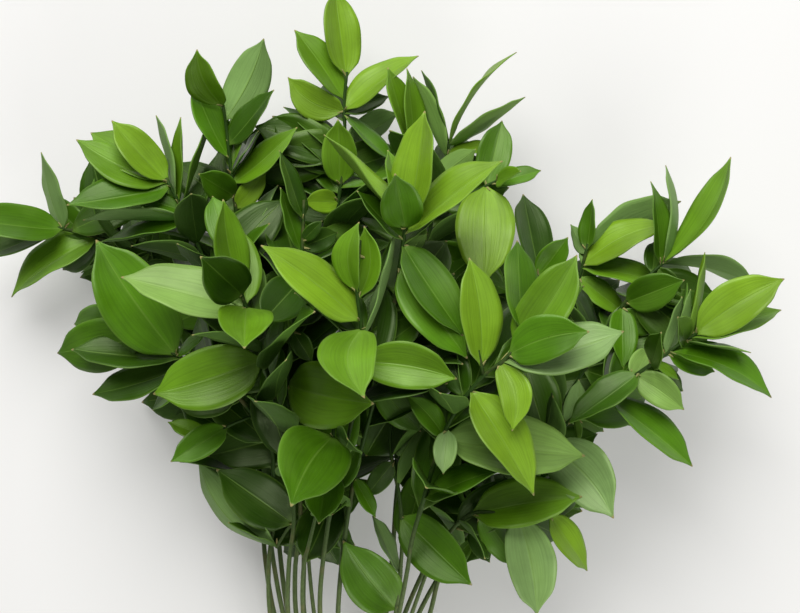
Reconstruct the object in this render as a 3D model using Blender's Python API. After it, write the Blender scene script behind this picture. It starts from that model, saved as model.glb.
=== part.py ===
"""A cut bunch of broad-leaved ruscus that lies on a table, its stems side by side where a hand gathers them.

Metres, +Z up. The table is at z = 0, the leafy tips point to +Y and the cut ends to -Y, and the side that shows
faces up. Each stem is one piece with its leaves, as it grew.
"""

import math
import random
from collections import namedtuple

import bmesh
import bpy
from mathutils import Matrix, Vector
from mathutils.bvhtree import BVHTree

# The bunch is laid out as the eye sees it from above. A place is a pixel of the reference picture and a height
# over the table in millimetres. A pixel is PIXEL wide at the height FOCUS, and the eye is EYE over the table.
PIXEL = 0.00075
MIDDLE = (400, 306.5)
FOCUS = 0.110
EYE = 1.190
MM = 0.001

# Stems
ROOT_RADIUS = 0.0026
TIP_RADIUS = 0.0011
TWIG_RADIUS = 0.0012
TUBE_STEP = 0.044
TUBE_SIDES = 6
STEM_GAP = 0.0002
SLOT = 2 * ROOT_RADIUS + STEM_GAP
ROW = SLOT * math.sqrt(0.75)
MIDDLE_COLUMN = 2.5
GRIP_X = 345
GRIP_START = 775
GRIP_END = 830
CUT_END = 925
FLARE = 1.6

# Leaves
THICKNESS = 0.0013
NECK_FACES = 4
SLIM = 0.46
BROAD = 0.54
STEEPEST = 66
BASE_CURVE = 0.62  # how the outline swells from the base and narrows to the tip
TIP_CURVE = 0.75
WIDEST = BASE_CURVE / (BASE_CURVE + TIP_CURVE)
ARCH = 0.05
CUP = 12
CLEAR = 0.0005
SHOWN_RINGS = (0.16, 0.44, 0.76)
NARROW = 19
NARROW_RINGS = (0.24, 0.68)
HIDDEN_RINGS = (0.22, 0.66)
COVERS = 3  # faults for each place of a blade that covers one that shows
COVERS_HIDDEN = 7
TRIES = 90
END_SHARE = 0.05  # of a tube's stretch, to keep a leaf's base inside the wood
SCATTER = 1.5

# Leaves that the eye hardly sees fill the bunch behind the others, inside its outline.
SEED = 11
HIDDEN_STEP = 0.0125
HIDDEN_LENGTH = (0.055, 0.088)
HIDDEN_ANGLE = (42, 66)
GOLDEN_ANGLE = 137.5
OUTLINE = (
    (55, 245), (85, 145), (150, 135), (192, 80), (255, 65), (275, 120), (300, 70), (342, 25), (360, 90),
    (395, 95), (440, 120), (498, 142), (520, 200), (560, 250), (612, 228), (668, 215), (690, 260), (755, 290),
    (722, 335), (745, 378), (690, 370), (680, 440), (632, 412), (595, 445), (610, 500), (560, 522), (548, 585),
    (505, 560), (460, 570), (405, 560), (394, 480), (362, 462), (350, 560), (275, 555), (215, 500), (180, 440),
    (100, 372), (78, 330), (105, 292), (55, 268),
)

# The side of a blade that the eye sees, and which way the blade is turned about its rib.
TOP = (1, 1)
BACK = (-1, 1)
TOP_TURNED = (1, -1)
BACK_TURNED = (-1, -1)

# A stem has its column and row in the grip, its line from the tip down to the bare part, and its side twigs.
# A leaf is (base x, base y, tip x, tip y, width as seen, rise of its tip in mm, bow, side). The bow is how far
# its rib bends to the left on the way to the tip. Its base is moved onto the nearest wood. Stems, and a stem's
# leaves, are listed from the eye down.
Stem = namedtuple("Stem", "name column row line twigs leaves")

STEMS = (
    Stem("stem_right_main", 4, 2,
         [(545, 300, 176), (510, 354, 178), (482, 377, 174), (455, 412, 164), (440, 445, 152), (425, 495, 132),
          (412, 540, 112), (399, 613, 80)],
         [[(482, 377, 174), (478, 350, 180)]],
         [(508, 356, 592, 334, 49, 25, 6, TOP), (497, 360, 512, 431, 33, 12, 10, TOP),
          (473, 392, 535, 495, 44, 10, 4, TOP), (482, 365, 470, 258, 42, 5, -5, TOP),
          (512, 352, 576, 252, 46, 8, -4, TOP), (503, 364, 624, 331, 50, -5, -4, TOP),
          (449, 441, 586, 454, 60, -8, 0, TOP), (449, 440, 408, 396, 24, 8, -3, TOP),
          (530, 330, 584, 286, 30, -15, 0, BACK), (455, 430, 446, 474, 26, -5, 0, TOP),
          (522, 335, 518, 240, 34, -20, 0, TOP)]),
    Stem("stem_centre", 2, 2,
         [(360, 240, 190), (357, 290, 190), (362, 335, 184), (352, 420, 156), (332, 500, 126), (322, 570, 98),
          (320, 613, 82)],
         [],
         [(374, 328, 364, 394, 58, 45, -15, TOP), (357, 321, 262, 244, 42, 15, -3, TOP),
          (365, 338, 399, 228, 22, 15, -4, BACK), (371, 362, 457, 379, 47, 5, 5, TOP),
          (357, 295, 357, 222, 26, 10, 11, TOP), (368, 297, 362, 226, 27, 0, -9, TOP),
          (365, 250, 359, 299, 10, 10, 0, TOP)]),
    Stem("stem_front_left", -0.5, 1,
         [(225, 240, 164), (243, 298, 164), (262, 355, 154), (283, 430, 134), (294, 520, 104), (288, 613, 76)],
         [],
         [(243, 308, 244, 345, 54, 55, 0, TOP), (243, 296, 202, 258, 48, 30, 0, TOP),
          (240, 290, 224, 200, 35, 5, 3, TOP), (240, 312, 121, 277, 48, 5, -3, TOP),
          (250, 310, 240, 222, 34, -8, 0, TOP), (265, 358, 153, 394, 62, 0, 2, TOP),
          (212, 258, 214, 196, 30, -5, 0, TOP)]),
    Stem("stem_middle_low", 1, 2,
         [(334, 420, 158), (332, 445, 154), (326, 475, 142), (310, 540, 112), (303, 613, 84)],
         [],
         [(324, 436, 293, 503, 74, 35, -6, TOP), (335, 470, 319, 523, 42, 10, 0, TOP),
          (315, 562, 330, 492, 56, -25, -3, TOP)]),
    Stem("stem_top_front", 3, 2,
         [(412, 205, 172), (405, 232, 172), (400, 262, 166), (390, 330, 150), (374, 400, 132), (354, 480, 106),
          (342, 560, 80), (338, 613, 66)],
         [],
         [(402, 228, 395, 174, 42, 40, 0, TOP), (408, 232, 500, 158, 32, 15, 4, TOP),
          (415, 225, 422, 110, 42, 5, 0, TOP), (397, 268, 468, 358, 50, 10, 0, TOP),
          (395, 228, 331, 132, 28, 5, 0, TOP), (385, 215, 389, 151, 28, -5, 0, TOP),
          (392, 238, 356, 190, 28, -5, 0, TOP), (398, 256, 466, 340, 30, -12, 0, TOP),
          (398, 262, 425, 232, 14, 5, 0, BACK), (358, 478, 376, 517, 16, 8, 0, TOP)]),
    Stem("stem_right_low", 4.5, 1,
         [(552, 514, 118), (510, 514, 118), (470, 514, 112), (440, 545, 92), (412, 613, 58)],
         [],
         [(468, 510, 583, 495, 50, 10, 3, TOP), (447, 518, 532, 486, 45, 0, 2, TOP),
          (518, 516, 537, 615, 49, -10, 5, TOP), (470, 513, 510, 566, 36, -20, 2, TOP),
          (550, 512, 590, 570, 27, -12, 0, TOP)]),
    Stem("stem_right_branch", 6, 0,
         [(697, 333, 122), (672, 350, 122), (637, 374, 118), (600, 398, 112), (565, 425, 104), (520, 468, 90),
          (470, 528, 72), (442, 570, 60), (430, 613, 46)],
         [],
         [(697, 336, 784, 278, 46, 15, 4, TOP), (672, 351, 773, 395, 28, 10, 11, TOP),
          (610, 404, 693, 466, 30, 10, 4, TOP), (692, 334, 706, 253, 21, 5, -2, TOP),
          (636, 377, 684, 410, 32, 8, 2, TOP), (556, 456, 612, 518, 62, 20, 9, TOP),
          (700, 335, 781, 304, 20, 0, 0, TOP), (700, 342, 748, 346, 12, 5, 0, BACK),
          (665, 350, 680, 296, 14, 8, -3, BACK), (683, 335, 690, 289, 10, 5, 0, BACK),
          (690, 342, 683, 318, 16, 5, 0, TOP), (668, 355, 714, 371, 24, -5, 0, TOP),
          (655, 360, 679, 379, 10, 0, 0, TOP), (640, 376, 566, 421, 32, 5, 0, TOP),
          (564, 424, 581, 384, 24, 12, -4, BACK), (578, 420, 580, 441, 8, 5, 0, BACK),
          (628, 372, 650, 349, 24, -5, 0, TOP), (640, 372, 656, 341, 14, 5, 0, TOP)]),
    Stem("stem_left_low", -1, 0,
         [(130, 316, 112), (150, 345, 116), (178, 356, 118), (230, 388, 112), (268, 440, 96), (274, 520, 74),
          (270, 613, 52)],
         [[(251, 416, 103), (228, 426, 106), (210, 438, 108)]],
         [(178, 352, 97, 239, 70, 15, 4, TOP), (224, 416, 172, 460, 30, 10, 0, TOP),
          (228, 405, 174, 404, 34, -5, 0, TOP), (205, 440, 168, 422, 18, 0, 0, TOP),
          (175, 370, 71, 348, 35, -8, 0, TOP), (140, 340, 56, 354, 55, -12, 0, TOP),
          (185, 372, 92, 394, 34, -10, 2, TOP), (130, 312, 70, 330, 35, -20, 0, TOP),
          (190, 375, 152, 410, 14, -10, 0, TOP), (172, 362, 206, 333, 8, 10, 0, TOP)]),
    Stem("stem_inner_left", 1.5, 1,
         [(304, 200, 122), (302, 250, 124), (296, 310, 124), (287, 380, 118), (298, 450, 96), (300, 530, 74),
          (296, 613, 54)],
         [],
         [(284, 385, 375, 404, 66, 10, -3, TOP), (300, 282, 262, 322, 50, 10, 0, TOP),
          (290, 330, 312, 362, 20, 0, 0, TOP), (302, 240, 322, 221, 14, 5, 0, TOP),
          (303, 215, 283, 150, 20, 5, 0, TOP), (300, 250, 283, 188, 20, 0, 0, TOP),
          (303, 250, 338, 232, 24, -5, 0, TOP)]),
    Stem("stem_middle_back", 3.5, 1,
         [(402, 385, 104), (390, 440, 96), (400, 500, 86), (402, 545, 74), (396, 613, 52)],
         [],
         [(408, 522, 469, 589, 54, 15, 0, TOP), (398, 400, 366, 456, 54, -30, 0, TOP),
          (402, 540, 424, 466, 28, 5, 0, TOP), (392, 462, 366, 497, 22, 5, 0, TOP),
          (397, 608, 343, 540, 52, 0, 3, TOP), (400, 575, 375, 515, 14, 5, 0, TOP)]),
    Stem("stem_left_bottom", 2.5, 1,
         [(306, 425, 78), (310, 480, 74), (308, 545, 62), (314, 613, 48)],
         [[(308, 520, 67), (292, 524, 72), (276, 548, 74)]],
         [(298, 432, 207, 456, 50, 5, 0, TOP), (293, 522, 219, 468, 52, 5, 0, TOP),
          (273, 558, 199, 459, 30, -5, 13, BACK), (272, 560, 235, 515, 18, -12, 0, TOP)]),
    Stem("stem_upper_left", 0.5, 1,
         [(166, 178, 104), (183, 212, 102), (205, 262, 96), (232, 330, 86), (250, 420, 72), (268, 520, 56),
          (283, 613, 42)],
         [],
         [(160, 188, 77, 137, 37, 5, 6, TOP), (167, 182, 112, 120, 34, 10, 1, TOP),
          (188, 208, 120, 189, 20, 10, 0, TOP), (178, 219, 80, 214, 22, 0, -2, BACK),
          (150, 175, 84, 124, 30, -5, 0, TOP), (171, 199, 157, 118, 18, 5, 0, BACK),
          (180, 200, 176, 120, 16, 5, 0, TOP), (185, 200, 203, 115, 14, 5, 0, BACK),
          (160, 183, 62, 199, 22, -5, 0, TOP), (180, 212, 108, 191, 20, -5, 0, TOP),
          (180, 226, 100, 241, 10, 5, 0, TOP), (170, 218, 198, 208, 8, 10, 0, TOP)]),
    Stem("stem_top_left", 1, 0,
         [(223, 105, 90), (226, 125, 88), (232, 178, 84), (240, 240, 76), (252, 310, 64), (262, 400, 48),
          (276, 500, 34), (288, 613, 26)],
         [],
         [(226, 160, 195, 83, 32, 10, 2, TOP), (226, 170, 256, 96, 32, 8, 8, TOP),
          (223, 118, 192, 52, 36, 0, 8, TOP), (225, 121, 262, 38, 44, 0, -5, BACK),
          (232, 150, 268, 90, 30, -8, 0, TOP), (236, 182, 296, 126, 24, 8, -2, TOP),
          (232, 176, 250, 133, 8, 10, 0, BACK), (232, 210, 266, 172, 22, 5, 0, TOP),
          (243, 240, 278, 185, 12, 0, 0, TOP), (246, 195, 199, 174, 32, 5, 0, TOP)]),
    Stem("stem_top_centre", 2, 0,
         [(347, 72, 72), (344, 105, 72), (345, 140, 72), (340, 190, 70), (328, 260, 62), (315, 350, 50),
          (306, 450, 38), (304, 560, 30), (304, 613, 25)],
         [],
         [(343, 100, 296, 29, 32, 10, -2, TOP), (340, 112, 288, 77, 33, 8, 9, TOP),
          (347, 80, 337, -12, 38, 0, 0, TOP), (346, 110, 418, 55, 25, 5, 4, TOP),
          (345, 116, 395, 162, 14, 0, 0, TOP), (352, 142, 395, 110, 18, -5, 0, BACK),
          (333, 185, 338, 119, 36, 5, 0, TOP), (330, 190, 309, 145, 28, 0, 0, TOP),
          (356, 202, 303, 200, 28, 10, 0, TOP)]),
    Stem("stem_top_right", 3, 0,
         [(450, 140, 76), (441, 180, 76), (430, 230, 70), (418, 300, 60), (408, 400, 46), (396, 500, 32),
          (386, 613, 24)],
         [[(434, 212, 72), (465, 196, 78), (499, 180, 82)], [(438, 193, 75), (424, 166, 82), (412, 148, 86)]],
         [(485, 182, 484, 283, 59, 10, 0, TOP), (437, 182, 475, 150, 26, 5, 0, BACK),
          (425, 150, 410, 68, 20, 5, 0, TOP), (408, 150, 388, 65, 20, 0, 0, TOP),
          (447, 158, 415, 76, 16, 0, 0, BACK), (445, 135, 417, 77, 12, -5, 0, TOP),
          (450, 135, 521, 55, 20, 5, 10, TOP), (463, 142, 526, 96, 9, 0, -3, BACK),
          (480, 176, 503, 120, 35, -5, 0, TOP), (447, 150, 496, 142, 10, 5, 0, TOP),
          (500, 200, 541, 169, 18, -5, 0, TOP), (497, 185, 517, 175, 6, 0, 0, TOP)]),
    Stem("stem_right_upper", 5, 0,
         [(664, 262, 80), (640, 285, 82), (612, 320, 76), (584, 370, 66), (545, 430, 54), (500, 500, 40),
          (450, 560, 30), (419, 613, 25)],
         [],
         [(664, 264, 728, 155, 15, 5, -11, TOP), (658, 265, 654, 181, 18, 0, -3, TOP),
          (665, 262, 672, 162, 20, 0, -10, BACK), (665, 264, 758, 287, 14, 5, 10, BACK),
          (622, 300, 683, 280, 40, 0, 0, TOP), (610, 318, 665, 326, 28, 0, 0, TOP),
          (622, 300, 626, 364, 24, 0, 0, TOP)]),
    Stem("stem_right_middle", 4, 0,
         [(588, 244, 62), (580, 275, 60), (567, 320, 54), (540, 390, 42), (495, 460, 32), (447, 530, 26),
          (405, 613, 22)],
         [[(569, 310, 55), (550, 288, 60), (536, 274, 64)]],
         [(585, 266, 668, 222, 31, 10, 8, TOP), (588, 263, 668, 284, 19, 5, 5, TOP),
          (580, 275, 627, 314, 24, 0, 0, TOP), (572, 285, 620, 305, 24, -5, 0, TOP),
          (545, 270, 568, 238, 28, 0, 0, TOP), (582, 250, 591, 199, 16, 0, 0, TOP),
          (588, 258, 572, 223, 14, 0, 0, BACK), (588, 258, 611, 221, 16, -5, 0, TOP),
          (590, 245, 680, 200, 40, -10, 0, BACK), (550, 280, 524, 199, 18, 0, 0, TOP),
          (545, 285, 534, 230, 18, -5, 0, TOP), (545, 385, 625, 372, 38, 0, 0, TOP),
          (550, 375, 520, 404, 24, -5, 0, TOP)]),
    Stem("stem_far_left", 0, 0,
         [(52, 226, 52), (100, 238, 44), (150, 252, 36), (195, 296, 30), (228, 360, 26), (246, 440, 25),
          (262, 520, 23), (274, 613, 20)],
         [],
         [(52, 228, -25, 258, 24, 10, 0, TOP), (54, 226, -38, 215, 20, 5, 0, TOP),
          (62, 220, 45, 152, 13, 5, 3, BACK), (97, 252, 49, 192, 28, 15, 6, TOP),
          (93, 262, 9, 294, 31, 5, -7, TOP)]),
)

# The bunch rests on the gathered stems and on three leaves that lie flat: (stem, base x, base y, tip x, tip y).
RESTING = (
    ("stem_far_left", 195, 296, 128, 318),
    ("stem_right_middle", 540, 390, 598, 350),
    ("stem_top_centre", 300, 470, 352, 440),
)

GREEN = (0.075, 0.22, 0.022)
LEAF_ROUGHNESS = 0.38


def place(x, y, height):
    """The place in metres that the eye sees at a pixel, at a height in millimetres over the table."""
    z = height * MM
    scale = PIXEL * (EYE - z) / (EYE - FOCUS)
    return Vector(((x - MIDDLE[0]) * scale, (MIDDLE[1] - y) * scale, z))


def picture(point):
    """The pixel at which the eye sees a place."""
    scale = PIXEL * (EYE - point.z) / (EYE - FOCUS)
    return MIDDLE[0] + point.x / scale, MIDDLE[1] - point.y / scale


def smooth_line(points, step):
    """Places a step apart on the smooth curve through the points."""
    ends = [2 * points[0] - points[1]] + points + [2 * points[-1] - points[-2]]
    line = []
    for before, start, end, after in zip(ends, ends[1:], ends[2:], ends[3:]):
        count = max(1, round((end - start).length / step))
        for i in range(count):
            t = i / count
            line.append(0.5 * (2 * start + (end - before) * t
                               + (2 * before - 5 * start + 4 * end - after) * t * t
                               + (3 * start - before - 3 * end + after) * t ** 3))
    return line + [points[-1]]


def stem_line(stem):
    """A stem's middle line from its tip through the grip to its cut end."""
    shift = (stem.column - MIDDLE_COLUMN) * SLOT
    height = ROOT_RADIUS + stem.row * ROW
    grip = [place(GRIP_X, y, 0) for y in (GRIP_START, GRIP_END, CUT_END)]
    gathered = [Vector((spot.x + shift * spread, spot.y, height)) for spot, spread in zip(grip, (1, 1, FLARE))]
    return smooth_line([place(*spot) for spot in stem.line] + gathered, TUBE_STEP)


def tube(name, line, first_radius, last_radius):
    """A closed round tube along a line, as a mesh object."""
    curve = bpy.data.curves.new(name, "CURVE")
    curve.dimensions = "3D"
    curve.bevel_depth = 1
    curve.bevel_resolution = TUBE_SIDES // 2 - 2
    curve.use_fill_caps = True
    spline = curve.splines.new("POLY")
    spline.points.add(len(line) - 1)
    for i, (point, spot) in enumerate(zip(spline.points, line)):
        point.co = (*spot, 1)
        point.radius = first_radius + (last_radius - first_radius) * i / (len(line) - 1)
    drawn = bpy.data.objects.new(name + "_line", curve)
    bpy.context.scene.collection.objects.link(drawn)
    drawn_now = drawn.evaluated_get(bpy.context.evaluated_depsgraph_get())
    mesh = bpy.data.meshes.new_from_object(drawn_now)
    piece = bpy.data.objects.new(name, mesh)
    piece.matrix_world = drawn.matrix_world
    bpy.data.objects.remove(drawn)
    form = bmesh.new()
    form.from_mesh(mesh)
    bmesh.ops.remove_doubles(form, verts=form.verts, dist=0.00001)
    bmesh.ops.triangulate(form, faces=form.faces)
    form.to_mesh(mesh)
    form.free()
    return piece


class Blade:
    """A leaf blade from its base to its tip: the way it points, faces and bends."""

    def __init__(self, base, tip, width, facing, bend, rings, resting=False):
        self.base = base
        self.tip = tip
        self.half = width / 2
        self.bend = bend
        self.along = (tip - base).normalized()
        self.up = (facing - self.along * facing.dot(self.along)).normalized()
        self.side = self.up.cross(self.along)
        self.rings = rings
        self.resting = resting

    def width_at(self, t):
        """Half the width at a share of the length: a pointed oval, broadest under its middle."""
        return self.half * (t / WIDEST) ** BASE_CURVE * ((1 - t) / (1 - WIDEST)) ** TIP_CURVE

    def section(self, t, grow):
        """The left edge, the rib's top, the right edge and the rib's underside at a share of the length."""
        middle = self.base.lerp(self.tip, t) + self.bend * (4 * t * (1 - t))
        half = self.width_at(t) + grow
        if self.resting:
            middle.z = 0
            flat = Vector((self.side.x, self.side.y, 0)).normalized() * half
            return [middle - flat, middle + Vector((0, 0, THICKNESS)), middle + flat, middle]
        lift = self.up * (half * math.sin(math.radians(CUP)) / 2)
        rib = self.up * (THICKNESS / 2 + grow)
        return [middle - self.side * half + lift, middle - lift + rib,
                middle + self.side * half + lift, middle - lift - rib]

    def shape(self, grow=0):
        """The blade's corners and triangles, split alike on both sides. The first four triangles are its neck's."""
        corners = [self.base - self.along * grow]
        for t in self.rings:
            corners += self.section(t, grow)
        corners.append(self.tip + self.along * grow)
        faces = [(0, 1 + i, 1 + (i + 1) % 4) for i in range(4)]
        last = len(corners) - 5
        for start in range(1, last, 4):
            left, top, right, low = range(start, start + 4)
            for side, rib in ((left, top), (right, low)):
                faces += [(side, rib + 4, rib), (side, side + 4, rib + 4)]
            for side, rib in ((right, top), (left, low)):
                faces += [(side, rib, rib + 4), (side, rib + 4, side + 4)]
        tip = len(corners) - 1
        faces += [(last + i, tip, last + (i + 1) % 4) for i in range(4)]
        return corners, faces

    def samples(self):
        """Places on the blade at which it is tested against the eye."""
        spots = [self.tip]
        for t in (0.3, 0.55, 0.8):
            section = self.section(t, -0.15 * self.width_at(t))
            spots += [section[0], section[1], section[2]]
        return spots


def facing_eye(base, tip, width, bow, side):
    """A blade's true width, the way that its upper side faces and its bend, from how the eye sees it."""
    length = (tip - base).length
    along = (tip - base) / length
    seen, turn = side
    share = min(BROAD, max(SLIM, width / length))
    view = Vector((0, 0, EYE)) - base.lerp(tip, 0.5)
    toward = (view - along * view.dot(along)).normalized()
    angle = min(math.acos(min(1, width / (share * length))), math.radians(STEEPEST))
    across = along.cross(toward)
    # the upper side turns to the light, which comes from the tips' end
    light = 1 if across.y > 0 else -1
    facing = toward * math.cos(angle) + across * (math.sin(angle) * light * turn * seen)
    return share * length, facing * seen, toward * (ARCH * length * seen) - across * bow


def shown_blade(base, row, width_scale, changes):
    """The blade that a leaf's row describes, from a base on the wood, with small changes to clear its neighbours."""
    tip_x, tip_y, seen_width, rise, bow, side = row[2:]
    shift_x, shift_y, lift, roll = changes
    tip = place(tip_x + shift_x, tip_y + shift_y, base.z / MM + rise + lift)
    pixel = PIXEL * (EYE - base.z) / (EYE - FOCUS)
    width = seen_width * width_scale * pixel
    length = (tip - base).length
    # a blade that looks broad for its length points at the eye, so its tip is higher still
    if width > BROAD * length:
        flat = (tip - base).to_2d().length
        climb = math.sqrt((width / BROAD) ** 2 - flat ** 2)
        tip = place(tip_x + shift_x, tip_y + shift_y, base.z / MM + math.copysign(climb / MM, rise) + lift)
    true_width, facing, bend = facing_eye(base, tip, width, bow * pixel, side)
    facing = Matrix.Rotation(math.radians(roll), 3, tip - base) @ facing
    return Blade(base, tip, true_width, facing, bend, SHOWN_RINGS if seen_width > NARROW else NARROW_RINGS)


def nearest_wood(lines, x, y):
    """The place on a stem's lines that the eye sees nearest to a pixel."""
    wanted = Vector((x, y))
    best = None
    for line in lines:
        for start, end in zip(line, line[1:]):
            seen = Vector(picture(start))
            run = Vector(picture(end)) - seen
            share = min(1 - END_SHARE, max(END_SHARE, (wanted - seen).dot(run) / run.length_squared))
            far = (seen + run * share - wanted).length
            if best is None or far < best[0]:
                best = (far, start.lerp(end, share))
    return best[1]


def inside_outline(x, y):
    """Whether a pixel lies inside the bunch's outline."""
    inside = False
    for (x1, y1), (x2, y2) in zip(OUTLINE, OUTLINE[1:] + OUTLINE[:1]):
        if (y1 > y) != (y2 > y) and x < x1 + (x2 - x1) * (y - y1) / (y2 - y1):
            inside = not inside
    return inside


class Bunch:
    """Everything that is placed so far, so that the next leaf can be bent clear of it."""

    def __init__(self):
        self.corners = []
        self.faces = []
        self.owners = []
        self.tree = None

    def add(self, corners, faces, owner):
        first = len(self.corners)
        self.corners += [Vector(corner) for corner in corners]
        self.faces += [tuple(first + i for i in face) for face in faces]
        self.owners += [owner] * len(faces)
        self.tree = BVHTree.FromPolygons(self.corners, self.faces)

    def faults(self, blade, stem, hidden):
        """How badly a blade sits: 1000 if it meets another stem's piece or the table, else less for smaller faults.

        A hidden blade sits well behind the others where it closes a gap between them, inside the bunch's outline.
        """
        corners, faces = blade.shape(CLEAR)
        if not blade.resting and min(corner.z for corner in corners) < CLEAR:
            return 1000
        fault = 0
        for face, met in BVHTree.FromPolygons(corners, faces).overlap(self.tree):
            owner, kind = self.owners[met]
            if owner != stem:
                return 1000
            if kind != "wood":
                fault = max(fault, 30)
            elif face >= NECK_FACES:
                fault = max(fault, 20)
        for spot in blade.samples():
            away = (spot - Vector((0, 0, EYE))).normalized()
            hit = self.tree.ray_cast(spot + away * 0.001, away)
            if hit[2] is not None and self.owners[hit[2]][1] == "shown":
                fault += COVERS_HIDDEN if hidden else COVERS
            if hidden and self.tree.ray_cast(spot - away * 0.001, -away)[2] is None:
                if not inside_outline(*picture(spot)):
                    return 1000
                fault -= 1
        return fault


def best_blade(options, bunch, stem, limit, hidden=False):
    """The option with the least faults. A blade that shows takes the first with none."""
    best = None
    for blade, cost in options:
        fault = bunch.faults(blade, stem, hidden)
        if fault < limit and (best is None or fault + cost < best[0]):
            best = (fault + cost, blade)
            if fault == 0 and not hidden:
                break
    return best[1] if best else None


def shown_options(lines, row, draw):
    """A leaf as it is seen, and then with growing changes."""
    x = row[0] + draw.uniform(-SCATTER, SCATTER)
    y = row[1] + draw.uniform(-SCATTER, SCATTER)
    yield shown_blade(nearest_wood(lines, x, y), row, 1, (0, 0, 0, 0)), 0
    for i in range(1, TRIES):
        reach = i / TRIES
        changes = (draw.uniform(-9, 9) * reach, draw.uniform(-9, 9) * reach,
                   draw.uniform(-42, 42) * reach, draw.uniform(-40, 40) * reach)
        slid = nearest_wood(lines, x + draw.uniform(-14, 14) * reach, y + draw.uniform(-14, 14) * reach)
        yield shown_blade(slid, row, 1 - 0.15 * reach * draw.random(), changes), 6 * reach


def hidden_options(base, along_stem, turn, draw):
    """A leaf that grows out of the stem at an angle, its upper side to the stem's tip."""
    start = along_stem.orthogonal().normalized()
    for i in range(16):
        spin = math.radians(turn + draw.uniform(-180, 180) * i / 15)
        out = Matrix.Rotation(spin, 3, along_stem) @ start
        angle = math.radians(draw.uniform(*HIDDEN_ANGLE))
        length = draw.uniform(*HIDDEN_LENGTH)
        way = along_stem * math.cos(angle) + out * math.sin(angle)
        facing = along_stem + out.cross(along_stem) * draw.uniform(-0.6, 0.6)
        bend = facing.normalized() * (ARCH * length)
        yield Blade(base, base + way * length, length * SLIM, facing, bend, HIDDEN_RINGS), 0


def resting_blade(base, tip_x, tip_y):
    """A leaf that lies flat on the table."""
    tip = place(tip_x, tip_y, 0)
    tip.z = THICKNESS / 3
    return Blade(base, tip, (tip - base).length * SLIM, Vector((0, 0, 1)), Vector(), SHOWN_RINGS, resting=True)


def grow_leaves(lines, bunch):
    """Every stem's blades: those that lie flat, those that show, and those behind them."""
    draw = random.Random(SEED)
    blades = {stem.name: [] for stem in STEMS}

    def keep(stem_name, blade, deep=False):
        blades[stem_name].append(blade)
        corners, faces = blade.shape()
        bunch.add(corners, faces, (stem_name, "hidden" if deep else "shown"))

    for name, base_x, base_y, tip_x, tip_y in RESTING:
        keep(name, resting_blade(nearest_wood(lines[name][:1], base_x, base_y), tip_x, tip_y))
    for stem in STEMS:
        for row in stem.leaves:
            blade = best_blade(shown_options(lines[stem.name], row, draw), bunch, stem.name, 1000)
            if blade:
                keep(stem.name, blade)
            else:
                print("no place for", stem.name, row)
    for stem in STEMS:
        leafy = smooth_line([place(*spot) for spot in stem.line[:-1]], HIDDEN_STEP)
        turn = draw.uniform(0, 360)
        for i in range(1, len(leafy) - 2):
            turn += GOLDEN_ANGLE
            along = (leafy[i - 1] - leafy[i + 1]).normalized()
            base = nearest_wood(lines[stem.name][:1], *picture(leafy[i]))
            blade = best_blade(hidden_options(base, along, turn, draw), bunch, stem.name, 12, hidden=True)
            if blade:
                keep(stem.name, blade, deep=True)
    return blades


def leaf_material():
    """Glossy green, the same on all stems."""
    material = bpy.data.materials.new("ruscus_green")
    material.use_nodes = True
    shader = material.node_tree.nodes["Principled BSDF"]
    shader.inputs["Base Color"].default_value = (*GREEN, 1)
    shader.inputs["Roughness"].default_value = LEAF_ROUGHNESS
    shader.inputs["Metallic"].default_value = 0
    return material


def fused(wood, twigs, blades, collection):
    """A stem's wood, twigs and blades as one solid."""
    parts = bpy.data.collections.new(wood.name + "_parts")
    collection.children.link(parts)
    for twig in twigs:
        parts.objects.link(twig)
    for number, blade in enumerate(blades):
        corners, faces = blade.shape()
        mesh = bpy.data.meshes.new("blade")
        mesh.from_pydata(corners, [], faces)
        parts.objects.link(bpy.data.objects.new(f"{wood.name}_leaf_{number}", mesh))
    union = wood.modifiers.new("union", "BOOLEAN")
    union.operation = "UNION"
    union.operand_type = "COLLECTION"
    union.collection = parts
    union.solver = "MANIFOLD"
    wood_now = wood.evaluated_get(bpy.context.evaluated_depsgraph_get())
    mesh = bpy.data.meshes.new_from_object(wood_now)
    wood.modifiers.clear()
    wood.data = mesh
    for piece in list(parts.objects):
        bpy.data.objects.remove(piece)
    bpy.data.collections.remove(parts)


def centre(objects):
    """Moves the meshes so that the origin is in the middle of the bunch's box, on the table."""
    corners = [corner.co for piece in objects for corner in piece.data.vertices]
    shift = Vector([-(min(c[i] for c in corners) + max(c[i] for c in corners)) / 2 for i in (0, 1)] + [0])
    for piece in objects:
        piece.data.transform(Matrix.Translation(shift))
    return shift


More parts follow.
